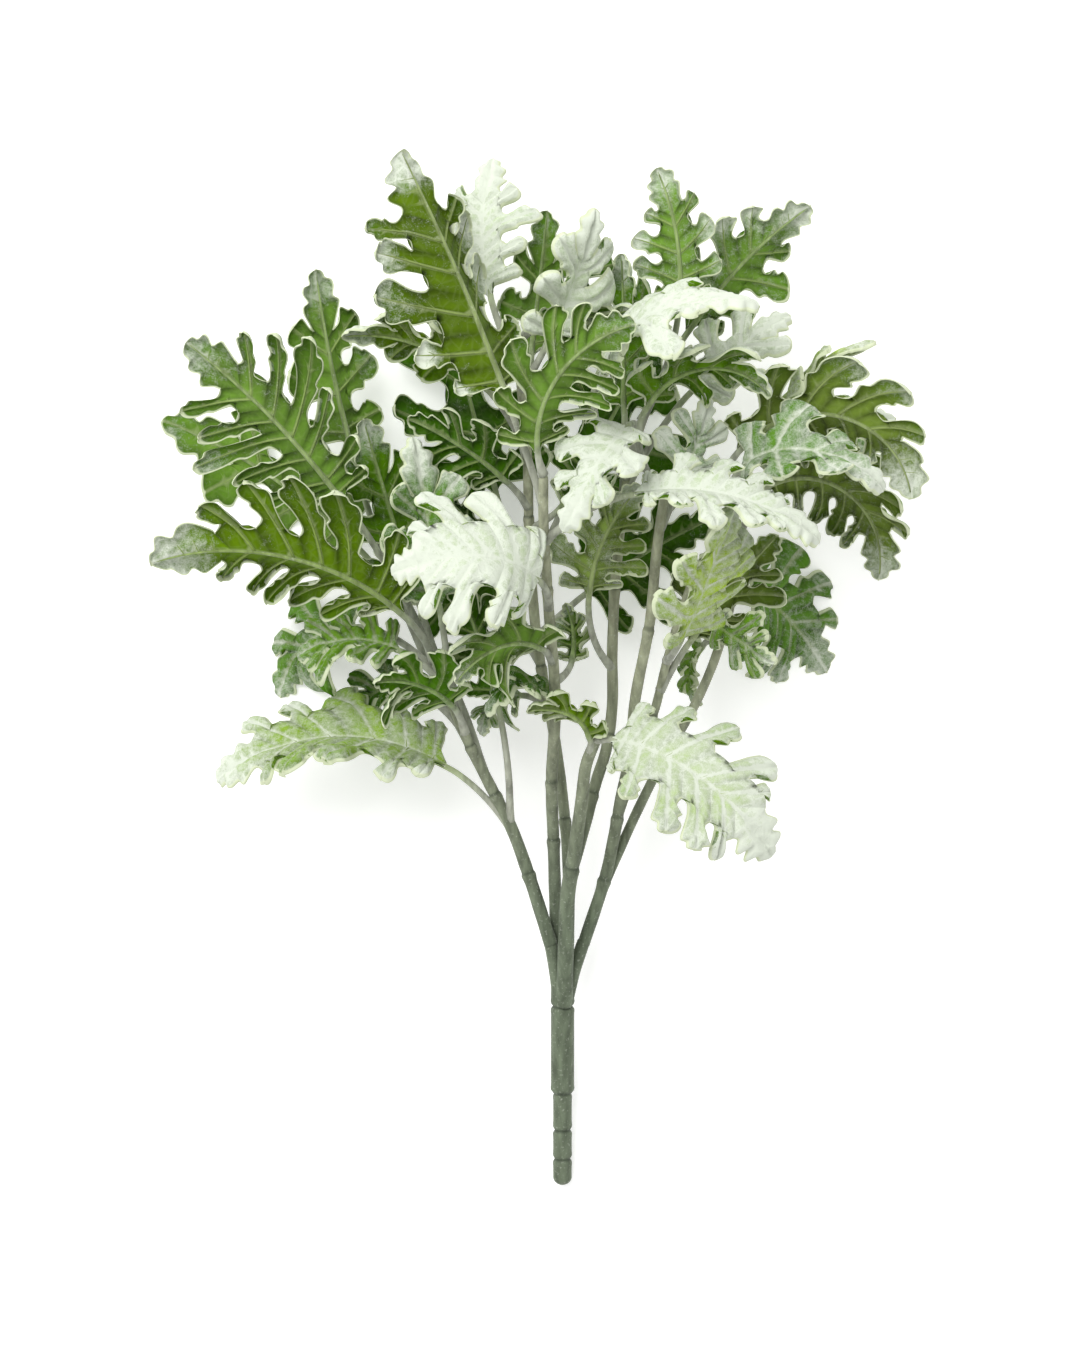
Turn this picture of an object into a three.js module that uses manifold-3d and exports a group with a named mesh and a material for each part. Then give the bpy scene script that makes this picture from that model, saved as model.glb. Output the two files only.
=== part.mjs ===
// An artificial dusty miller spray, lying on a table: a moulded handle that divides into jointed
// branches, and lobed felty leaves, each on its own stalk, plugged into the branches.
// Millimetres. X runs across the spray, Y from the handle's end to the leaf tips, Z up from the table.
import * as THREE from "three";
import { mergeVertices } from "three/addons/utils/BufferGeometryUtils.js";
import Module from "manifold-3d";

const wasm = await Module();
wasm.setup();

// ---------- driving dimensions ----------
const MIDDLE = [-9.2, 201.4]; // X and Y of the middle of the spray's footprint, which is the origin
const SEAT_GAP = 0.3; // clearance between a stalk and the branch that carries it
const BLADE = 0.8; // thickness of a leaf
const TUBE_SIDES = 6;
const STALK_SPAN = 20; // length of a stalk's straight pieces
const LIMB_SPAN = 18; // and of a branch's
const STALK_RADIUS = 1.55; // at the root
const RIB_RADIUS = 1.15; // where the stalk becomes the leaf's rib
const HANDLE_RADIUS = 4.6;
const TIP_RADIUS = 3.7; // of the handle's lower sections
const TABLE_BEND = 5; // a leaf this far above the table starts to bend flat on to it

const GREY_STEM = { color: 0x7d8c7c, roughness: 0.62, metalness: 0 };
const GREEN_LEAF = { color: 0x6f9160, roughness: 0.85, metalness: 0 };

const radians = THREE.MathUtils.degToRad;
const vec = (p) => new THREE.Vector3(...p);

// ---------- the handle and the branches ----------
// Each limb is a round stem through `path`, from radius r[0] to r[1], with moulded joints at the
// given shares of its length. Limbs of one piece are fused.
const HANDLE_PATH = [[0, 0, 3.05], [0, 40, 12.35], [0, 80, 21.65]];
const HANDLE_JOINTS = [10.4, 22, 37, 71.6];
const HANDLE_LENGTH = 80;
const HANDLE_END = [[0, 0.5], [0.9, 0.86], [2.4, 1]]; // its rounding: along, and size there
const HANDLE_GROOVE = [[-1, 0.98], [0, 0.84], [1, 1]]; // at a joint: along, and size there
const BRANCH_BULGE = [[-1.2, 0.98], [0.3, 1.15]];

const LIMBS = {
  stubLeft: { piece: "handle", r: [2.9, 2.6], path: [[-1, 72, 20.5], [-2.4, 84, 23.5], [-5, 98, 27]] },
  stubRight: { piece: "handle", r: [2.9, 2.5], path: [[1, 72, 20.5], [4, 84, 22], [8.6, 98, 23.5]] },
  stubFront: { piece: "handle", r: [3.4, 3.1], path: [[0.5, 72, 21.5], [1, 86, 28], [1.4, 99, 33.5]] },
  stubCentre: { piece: "handle", r: [2.7, 2.4], path: [[-0.5, 72, 19.5], [-1.8, 86, 21], [-2.6, 101, 23]] },
  stubBack: { piece: "handle", r: [2.6, 2.3], path: [[0, 72, 18], [1.2, 84, 17.5], [2.4, 97, 17]] },

  left: {
    piece: "branch_left", r: [2.7, 1.9], joints: [0.24, 0.52, 0.7, 0.86],
    path: [
      [-4.6, 96, 26.5], [-12.8, 122, 33], [-20, 142, 39], [-29, 160, 44], [-36, 174, 49], [-44, 193, 55],
      [-50, 207, 58],
    ],
  },
  centre: {
    piece: "branch_centre", r: [2.5, 1.9], joints: [0.2, 0.33, 0.52, 0.76],
    path: [
      [-2.5, 99, 22.6], [-3.6, 137, 37], [-4.4, 160, 50], [-3, 192, 70], [-5.6, 228, 92], [-7.6, 262, 110],
      [-7.6, 278, 118],
    ],
  },
  front: {
    piece: "branch_front", r: [3.2, 2.2], joints: [0.35],
    path: [[1.4, 97, 32.6], [1.9, 115, 38], [4.4, 132, 46], [7.2, 152, 55], [9, 167, 61], [12.8, 177, 66]],
  },
  frontRise: {
    piece: "branch_front", r: [2.4, 1.8], joints: [0.17, 0.3, 0.62],
    path: [
      [3.4, 125, 42], [8.6, 143, 42], [13, 160, 42], [17, 173, 43], [19.3, 190, 45], [19.3, 212, 49],
      [20.6, 241, 57], [24.4, 275, 68], [30, 300, 77],
    ],
  },
  right: {
    piece: "branch_right", r: [2.5, 1.9], joints: [0.14, 0.28, 0.42, 0.7],
    path: [
      [8.2, 96, 23.3], [16.6, 122, 30], [19.6, 136, 36], [23, 155, 43], [26.4, 172, 51], [28, 192, 60],
      [33.6, 223, 74], [36, 250, 86], [39, 272, 96],
    ],
  },
  rightOuter: {
    piece: "branch_right", r: [2.0, 1.7], joints: [0.35, 0.66],
    path: [
      [15.6, 118, 28.6], [29, 148, 33], [40, 170, 37], [51, 189, 40], [60, 210, 46], [66, 235, 58],
      [65, 262, 72], [62, 278, 84],
    ],
  },
  rightInner: {
    piece: "branch_right", r: [1.9, 1.6], joints: [0.4],
    path: [[21, 145, 39.6], [29, 168, 44], [36, 189, 52], [40, 206, 60], [45, 224, 70], [52, 244, 80]],
  },
  back: {
    piece: "branch_back", r: [2.3, 1.8], joints: [0.2, 0.45, 0.7],
    path: [
      [2.2, 95, 17], [2, 130, 19], [-2, 170, 26], [-10, 215, 36], [-13, 255, 50], [-14, 290, 68],
      [-18, 330, 86],
    ],
  },
};

// ---------- the leaves ----------
// A leaf springs from `limb` at the share `at` of its length, passes `mid` half way and ends at `tip`.
// face: how the upper side is turned, 90 straight up from the table, 0 on edge, -90 straight down.
// start: the share of the whole that is stalk. width: breadth against an ordinary leaf. pairs: of lobes.
// web: half width of the blade between two lobes. seed: of its draws, where not the running number.
const LEAVES = {
  left: [
    { at: 1.0, mid: [-90, 276, 82], tip: [-145, 330, 84], face: -62, start: 0.46, width: 1.05, pairs: 6 },
    {
      at: 0.96, mid: [-86, 241, 94], tip: [-158, 245, 86], face: -52, start: 0.25, width: 0.85,
      fold: 24, pairs: 6,
    },
    {
      at: 0.22, mid: [-52, 170, 46], tip: [-135, 160, 40], face: 34, start: 0.38, width: 0.9, fold: 20,
      pairs: 5, web: 0.17,
    },
    { at: 0.925, mid: [-82, 221, 34], tip: [-112, 193, -4], face: 60, start: 0.45, width: 1.0, pairs: 3 },
    { at: 0.87, mid: [-74, 215, 60], tip: [-103, 208, 48], face: 40, start: 0.4, width: 1.25 },
    { at: 0.75, mid: [-55, 198, 76], tip: [-73, 199, 86], face: -50, start: 0.3, width: 1.35, pairs: 3 },
    { at: 0.42, mid: [-24, 184, 54], tip: [-43, 240, 51], face: -80, start: 0.5, width: 1.0, pairs: 3 },
    { at: 0.82, mid: [-62, 248, 42], tip: [-78, 302, 42], face: -70, start: 0.45, width: 0.95, pairs: 3 },
    { at: 0.84, mid: [-50, 244, 74], tip: [-58, 294, 76], face: 66, start: 0.4, width: 0.9, pairs: 3 },
    { at: 0.65, mid: [-82, 286, 31], tip: [-97, 361, 34], face: -60, start: 0.66, width: 0.9, pairs: 3 },
    { at: 0.6, mid: [-98, 268, 8], tip: [-159, 303, -6], face: -58, start: 0.55, width: 0.75, pairs: 3 },
    {
      at: 0.695, mid: [-61, 196, 36], tip: [-83, 187, 15], face: 60, start: 0.48, width: 0.98, pairs: 3,
      seed: 60,
    },
  ],
  centre: [
    { at: 1.0, mid: [-5, 310, 136], tip: [27, 334, 142], face: -76, start: 0.13, width: 1.0, pairs: 5 },
    {
      at: 0.94, mid: [-31, 332, 112], tip: [-62, 402, 104], face: -120, start: 0.3, width: 0.95,
      fold: 42, pairs: 5, web: 0.14,
    },
    { at: 0.72, mid: [-36, 247, 127], tip: [-65, 240, 124], face: 62, start: 0.24, width: 1.35, web: 0.17 },
    {
      at: 0.6, mid: [-20, 214, 98], tip: [-41, 199, 103], face: -50, start: 0.2, width: 1.2, pairs: 3,
      web: 0.15,
    },
    { at: 0.45, mid: [-14, 198, 74], tip: [-29, 186, 78], face: 20, start: 0.3, width: 1.1, pairs: 3 },
    { at: 0.56, mid: [4, 209, 60], tip: [1, 230, 52], face: -60, start: 0.4, width: 1.0, pairs: 3 },
    {
      at: 0.86, mid: [50, 272, 126], tip: [97, 252, 120], face: 40, start: 0.36, width: 0.72, pairs: 5,
      web: 0.15,
    },
  ],
  front: [
    {
      at: 1.0, mid: [46, 167, 90], tip: [80, 132, 82], face: 68, start: 0.1, width: 0.95, fold: 5,
      pairs: 5, web: 0.15,
    },
    { at: 0.92, mid: [4, 186, 78], tip: [-14, 188, 84], face: -35, start: 0.2, width: 1.0, pairs: 3 },
  ],
  frontRise: [
    { at: 0.45, mid: [11, 240, 76], tip: [30, 275, 80], face: -78, start: 0.45, width: 1.1 },
    {
      at: 0.94, mid: [20, 292, 118], tip: [0, 256, 127], face: 58, start: 0.4, width: 0.9, pairs: 3,
      web: 0.15,
    },
    { at: 1.0, mid: [45, 348, 83], tip: [36, 397, 82], face: -72, start: 0.45, width: 0.9, web: 0.14 },
    { at: 0.91, mid: [56, 346, 62], tip: [96, 384, 64], face: -60, start: 0.45, width: 0.95, web: 0.14 },
    { at: 0.87, mid: [36, 340, 121], tip: [74, 341, 132], face: 20, start: 0.4, width: 1.0, web: 0.17 },
    { at: 0.83, mid: [58, 320, 76], tip: [88, 341, 68], face: 60, start: 0.5, width: 1.1, pairs: 3 },
    { at: 0.79, mid: [24, 330, 56], tip: [23, 366, 50], face: -45, start: 0.4, width: 1.0, pairs: 3 },
  ],
  right: [
    { at: 1.0, mid: [49, 318, 110], tip: [79, 308, 107], face: -30, start: 0.4, width: 1.0, pairs: 3 },
    { at: 0.92, mid: [50, 288, 88], tip: [56, 309, 87], face: 60, start: 0.25, width: 1.05, pairs: 3 },
  ],
  rightInner: [
    { at: 0.62, mid: [54, 236, 106], tip: [66, 272, 112], face: 34, start: 0.3, width: 1.0, web: 0.15 },
    { at: 0.5, mid: [60, 230, 67], tip: [83, 256, 76], face: -60, start: 0.3, width: 1.2 },
    { at: 0.86, mid: [66, 217, 76], tip: [82, 207, 84], face: 50, start: 0.3, width: 1.3, pairs: 3 },
  ],
  rightOuter: [
    { at: 1.0, mid: [102, 302, 92], tip: [134, 270, 84], face: -55, start: 0.12, width: 0.85, pairs: 5 },
    { at: 0.89, mid: [103, 277, 61], tip: [123, 239, 52], face: -48, start: 0.2, width: 1.05, pairs: 5 },
    {
      at: 0.93, mid: [97, 287, 109], tip: [122, 272, 105], face: 50, start: 0.25, width: 0.72,
      web: 0.16, pairs: 3,
    },
    { at: 0.85, mid: [88, 310, 52], tip: [122, 332, 48], face: -8, start: 0.4, width: 0.85, pairs: 3 },
    { at: 0.8, mid: [98, 290, 34], tip: [131, 303, 26], face: 60, start: 0.4, width: 0.9, pairs: 3 },
    { at: 0.69, mid: [81, 231, 19], tip: [105, 203, -8], face: 76, start: 0.25, width: 1.25, web: 0.14 },
    { at: 0.6, mid: [54, 213, 38], tip: [54, 190, 34], face: 20, start: 0.3, width: 0.9, pairs: 3 },
  ],
  back: [
    { at: 0.96, mid: [-31, 366, 68], tip: [-27, 403, 55], face: 60, start: 0.35, width: 1.0, web: 0.15 },
    { at: 1.0, mid: [6.5, 341, 75.6], tip: [33, 335, 67.5], face: -20, start: 0.34, width: 0.85, pairs: 3 },
    { at: 0.92, mid: [4, 353, 98], tip: [12, 380, 106], face: 50, start: 0.3, width: 1.0, pairs: 3 },
    { at: 0.88, mid: [-10, 345, 42], tip: [-6, 384, 34], face: -60, start: 0.35, width: 1.0, pairs: 3 },
    { at: 0.84, mid: [1, 341, 54], tip: [12, 377, 59], face: -60, start: 0.5, width: 1.0, pairs: 3 },
    { at: 0.8, mid: [-46, 326, 58], tip: [-86, 334, 50], face: -30, start: 0.35, width: 0.85, pairs: 3 },
    { at: 0.72, mid: [-30, 284, 70], tip: [-60, 301, 70], face: -60, start: 0.25, width: 1.05, pairs: 3 },
    { at: 0.66, mid: [-34, 260, 50], tip: [-51, 284, 46], face: -50, start: 0.3, width: 1.3, pairs: 3 },
    { at: 0.68, mid: [4, 272, 60], tip: [16, 298, 62], face: -60, start: 0.3, width: 1.2, pairs: 3 },
    { at: 0.5, mid: [24, 245, 16], tip: [60, 264, -6], face: -60, start: 0.3, width: 1.35, pairs: 3 },
    { at: 0.46, mid: [-36, 235, 16], tip: [-74, 252, -6], face: -60, start: 0.3, width: 1.35, pairs: 3 },
    { at: 0.6, mid: [16, 298, 22], tip: [42, 340, -4], face: -60, start: 0.35, width: 1.1, pairs: 3 },
    { at: 0.56, mid: [-34, 300, 18], tip: [-46, 354, -4], face: -60, start: 0.35, width: 1.1, pairs: 3 },
    { at: 0.38, mid: [-18, 194, 32], tip: [-31, 178, 28], face: 60, start: 0.35, width: 1.2, pairs: 3 },
  ],
};

// ---------- small tools ----------
// A repeatable draw from 0 to 1 for the k-th choice of a leaf.
function draw(seed, k) {
  const v = Math.sin(seed * 12.9898 + k * 78.233) * 43758.5453;
  return v - Math.floor(v);
}
const spread = (seed, k, reach) => reach * (2 * draw(seed, k) - 1);

function smooth(low, high, v) {
  const t = Math.min(1, Math.max(0, (v - low) / (high - low)));
  return t * t * (3 - 2 * t);
}

function solidOf(positions, faces) {
  const raw = new THREE.BufferGeometry();
  const numbers = positions.flatMap((p) => [p.x, p.y, p.z]);
  raw.setAttribute("position", new THREE.Float32BufferAttribute(numbers, 3));
  raw.setIndex(faces.flat());
  const merged = mergeVertices(raw, 1e-4);
  const mesh = { numProp: 3, vertProperties: merged.attributes.position.array };
  const order = new Uint32Array(merged.index.array);
  const made = new wasm.Manifold(new wasm.Mesh({ ...mesh, triVerts: order }));
  if (made.volume() > 0) return made;
  for (let i = 0; i < order.length; i += 3) [order[i], order[i + 1]] = [order[i + 1], order[i]];
  return new wasm.Manifold(new wasm.Mesh({ ...mesh, triVerts: order }));
}

const largest = (solid) => solid.decompose().reduce((a, b) => (a.volume() > b.volume() ? a : b));

function meshOf(name, solid, finish) {
  const made = solid.getMesh();
  const geometry = new THREE.BufferGeometry();
  const points = new Float32Array(made.numVert * 3);
  for (let i = 0; i < made.numVert; i++) {
    points.set(made.vertProperties.subarray(i * made.numProp, i * made.numProp + 3), i * 3);
  }
  geometry.setAttribute("position", new THREE.BufferAttribute(points, 3));
  geometry.setIndex(new THREE.BufferAttribute(made.triVerts, 1));
  geometry.computeVertexNormals();
  const mesh = new THREE.Mesh(geometry, new THREE.MeshStandardMaterial(finish));
  mesh.name = name;
  return mesh;
}

// A round rod with closed ends: rings of `sides` points round each centre.
function rod(centres, radii, sides) {
  const points = [];
  const faces = [];
  centres.forEach((centre, i) => {
    const next = centres[Math.min(i + 1, centres.length - 1)];
    const last = centres[Math.max(i - 1, 0)];
    const along = next.clone().sub(last).normalize();
    const across = new THREE.Vector3(1, 0, 0).addScaledVector(along, -along.x).normalize();
    const over = new THREE.Vector3().crossVectors(along, across);
    for (let k = 0; k < sides; k++) {
      const turn = (2 * Math.PI * k) / sides;
      const out = across.clone().multiplyScalar(Math.cos(turn)).addScaledVector(over, Math.sin(turn));
      points.push(centre.clone().addScaledVector(out, radii[i]));
    }
  });
  const at = (ring, k) => ring * sides + (k % sides);
  const end = centres.length - 1;
  for (let i = 0; i < end; i++) {
    for (let k = 0; k < sides; k++) {
      faces.push([at(i, k), at(i + 1, k + 1), at(i, k + 1)], [at(i, k), at(i + 1, k), at(i + 1, k + 1)]);
    }
  }
  for (let k = 1; k < sides - 1; k++) {
    faces.push([at(0, 0), at(0, k), at(0, k + 1)], [at(end, 0), at(end, k + 1), at(end, k)]);
  }
  return solidOf(points, faces);
}

// ---------- stems ----------
const curves = {};
for (const [name, limb] of Object.entries(LIMBS)) {
  curves[name] = new THREE.CatmullRomCurve3(limb.path.map(vec));
}

// A limb, `grow` mm thicker all round. A joint is a short bulge in its radius.
function limbSolid(name, grow = 0) {
  const { r, joints = [] } = LIMBS[name];
  const curve = curves[name];
  const length = curve.getLength();
  const steps = Math.max(3, Math.round(length / LIMB_SPAN));
  const shares = [];
  for (let i = 0; i <= steps; i++) shares.push([i / steps, 1]);
  for (const j of joints) shares.push(...BRANCH_BULGE.map(([along, size]) => [j + along / length, size]));
  shares.sort((a, b) => a[0] - b[0]);
  const kept = shares.filter(([s, size], i) => i === 0 || size !== 1 || s - shares[i - 1][0] > 3 / length);
  const centres = kept.map(([s]) => curve.getPointAt(s));
  centres[0].addScaledVector(curve.getTangentAt(0), -grow);
  centres[centres.length - 1].addScaledVector(curve.getTangentAt(1), grow);
  return rod(centres, kept.map(([s, size]) => (r[0] + (r[1] - r[0]) * s) * size + grow), TUBE_SIDES);
}

function handleSolid(grow = 0) {
  const curve = new THREE.CatmullRomCurve3(HANDLE_PATH.map(vec));
  const profile = [...HANDLE_END];
  for (const j of HANDLE_JOINTS) profile.push(...HANDLE_GROOVE.map(([along, size]) => [j + along, size]));
  profile.push([HANDLE_LENGTH, 0.95]);
  const size = (y) => (y < HANDLE_JOINTS[2] ? TIP_RADIUS : HANDLE_RADIUS);
  const centres = profile.map(([y]) => curve.getPointAt(Math.min(1, y / HANDLE_LENGTH)));
  return rod(centres, profile.map(([y, k]) => size(y) * k + grow), TUBE_SIDES + 2);
}

function pieceSolid(piece, grow = 0) {
  const limbs = Object.keys(LIMBS).filter((name) => LIMBS[name].piece === piece);
  const solids = limbs.map((name) => limbSolid(name, grow));
  if (piece === "handle") solids.push(handleSolid(grow));
  return solids.reduce((a, b) => a.add(b));
}

// ---------- one leaf ----------
// The run of a leaf is the arc from its root through `mid` to its tip. `at(t)` gives the place and the
// directions there: along the run, up from the upper side, and to the side.
function leafRun(root, mid, tip, face) {
  const a = mid.clone().sub(root);
  const b = tip.clone().sub(root);
  const axis = new THREE.Vector3().crossVectors(a, b);
  const centre = new THREE.Vector3().crossVectors(axis, a).multiplyScalar(b.lengthSq())
    .addScaledVector(new THREE.Vector3().crossVectors(b, axis), a.lengthSq())
    .divideScalar(2 * axis.lengthSq()).add(root);
  axis.normalize();
  const turn = radians(face);
  const first = root.clone().sub(centre);
  const last = tip.clone().sub(centre);
  const angle = Math.atan2(new THREE.Vector3().crossVectors(first, last).dot(axis), first.dot(last));
  const sweep = angle < 0 ? angle + 2 * Math.PI : angle;
  const bow = axis.z < 0 ? -1 : 1;
  const at = (t) => {
    const out = first.clone().applyAxisAngle(axis, sweep * t);
    const along = new THREE.Vector3().crossVectors(axis, out).normalize();
    const over = new THREE.Vector3(0, 0, 1).addScaledVector(along, -along.z).normalize();
    const outer = new THREE.Vector3().crossVectors(along, over).multiplyScalar(bow);
    const up = outer.multiplyScalar(Math.cos(turn)).addScaledVector(over, Math.sin(turn));
    return { place: centre.clone().add(out), along, up, side: new THREE.Vector3().crossVectors(along, up) };
  };
  return { at, length: first.length() * sweep };
}

// Lobe pairs: place of the vein's foot on the rib, angle to the rib and length, as shares of the blade.
const PAIRS = {
  6: [
    [0.05, 82, 0.2], [0.13, 74, 0.31], [0.24, 66, 0.39], [0.36, 60, 0.42], [0.48, 55, 0.38],
    [0.61, 50, 0.29],
  ],
  5: [[0.06, 80, 0.21], [0.17, 70, 0.33], [0.32, 61, 0.39], [0.48, 53, 0.36], [0.62, 50, 0.28]],
  4: [[0.07, 78, 0.24], [0.2, 67, 0.38], [0.39, 57, 0.4], [0.57, 48, 0.31]],
  3: [[0.08, 76, 0.27], [0.28, 62, 0.42], [0.52, 49, 0.35]],
};
// Corners of a lobe's edge: along its vein, from 0 beside a notch to 1 at the lobe's end, and across it,
// towards the leaf's tip, as a share of the lobe. A lobe is a spoon, narrow at its neck.
const LOBE_EDGE = [[0.24, -0.145], [0.8, -0.195], [1, -0.01], [0.78, 0.195], [0.2, 0.135]];
const BASE_LOBE_EDGE = [[0.4, -0.18], [0.88, -0.23], [0.98, 0.12], [0.3, 0.17]]; // of the first pair
const FULLNESS = { 6: 0.58, 5: 0.8, 4: 1.02, 3: 1.25 }; // of the lobes: broader where they are fewer
const END_LOBE = [[0.86, 0.115], [0.955, 0.09]]; // corners beside the tip: along, to the side
const HEART = 0.13; // how far a lobe's middle corner lies past its notches, as a share of its vein
const BACK_STEP = 0.4; // how far the notches' own places along the vein move that corner
const WEB = 0.1; // half width of the blade between two lobes, as a share of its length
const LAST_WING = 0.75; // of that, beside the end lobe
const LAST_FOOT = 0.16; // from the last pair's foot to where another would stand
const END_HEART = 0.88; // place of the end lobe's middle corner
const RIB_DEPTH = 1.5; // of the rib under the leaf's base, against its radius
const RIB_TAPER = 0.92; // what it loses of that by the leaf's tip
const FOLD = [12, 8]; // degrees that each half of a blade rises, and how far that varies
const DROOP = [0.7, 0.5]; // how strongly its edge falls away again, and how far that varies
const WAVE = [0.112, 0.5]; // how high its edge waves, and how far that varies
const WAVE_TURN = 9; // radians that the wave turns over a blade
const WAVE_SHIFT = 1.9; // radians that one half is ahead of the other
const CUP = 1.2; // how strongly a lobe's sides rise
const ROLL = 0.4; // largest slant of a lobe, to either side
const LIFT = 0.16; // largest rise or fall of a lobe's end

function leafPlan(seed, pairs, width) {
  const halves = [1, -1].map((hand, h) =>
    PAIRS[pairs].map(([foot, angle, reach], k) => {
      const n = 10 * k + 50 * h;
      return {
        hand,
        foot: foot + spread(seed, n + 1, 0.015),
        angle: radians(angle + spread(seed, n + 2, 3.5)),
        reach: reach * width * (1 + spread(seed, n + 3, 0.14)),
        roll: spread(seed, n + 4, ROLL),
        lift: spread(seed, n + 5, LIFT),
      };
    }));
  return halves;
}

// Where a flat point of the blade lies in space: x along the rib, y to the side, both in mm.
function makeBlade(run, leaf, length) {
  const { start, seed } = leaf;
  const fold = radians(leaf.fold ?? FOLD[0] + spread(seed, 90, FOLD[1]));
  const droop = DROOP[0] + spread(seed, 91, DROOP[1]);
  const wave = WAVE[0] * (1 + spread(seed, 92, WAVE[1]));
  const phase = 2 * Math.PI * draw(seed, 93);
  const middle = (x, y, lobe) => {
    const f = run.at(start + ((1 - start) * x) / length);
    const off = Math.abs(y);
    let rise = off * Math.sin(fold) - (droop * off * off) / length;
    rise += wave * off * Math.sin((WAVE_TURN * x) / length + phase + (y > 0 ? WAVE_SHIFT : 0));
    if (lobe) {
      const u = (x - lobe.foot * length) / (lobe.reach * length);
      const v = off / (lobe.reach * length);
      const p = u * Math.cos(lobe.angle) + v * Math.sin(lobe.angle);
      const q = u * Math.sin(lobe.angle) - v * Math.cos(lobe.angle);
      const free = smooth(0.2, 0.7, p) * lobe.reach * length;
      rise += free * (lobe.roll * q + lobe.lift * p * p + CUP * q * q);
    }
    const point = f.place.clone().addScaledVector(f.side, y * Math.cos(fold)).addScaledVector(f.up, rise);
    const above = point.z - BLADE / 2;
    if (above < -TABLE_BEND) point.z = BLADE / 2;
    else if (above < TABLE_BEND) point.z = BLADE / 2 + (above + TABLE_BEND) ** 2 / (4 * TABLE_BEND);
    return point;
  };
  const normal = (x, y, lobe) => {
    const h = 0.4;
    const dx = middle(x + h, y, lobe).sub(middle(x - h, y, lobe));
    const s = y < 0 ? -1 : 1; // one-sided at the rib, where the two halves meet at an angle
    const dy = middle(x, y + s * h, lobe).sub(middle(x, y, lobe)).multiplyScalar(s);
    const n = new THREE.Vector3().crossVectors(dy, dx).normalize();
    if (Math.abs(y) < h) {
      const other = middle(x, y - h, lobe).sub(middle(x, y, lobe)).multiplyScalar(-1);
      n.add(new THREE.Vector3().crossVectors(other, dx).normalize()).normalize();
    }
    return n;
  };
  return { middle, normal };
}

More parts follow.
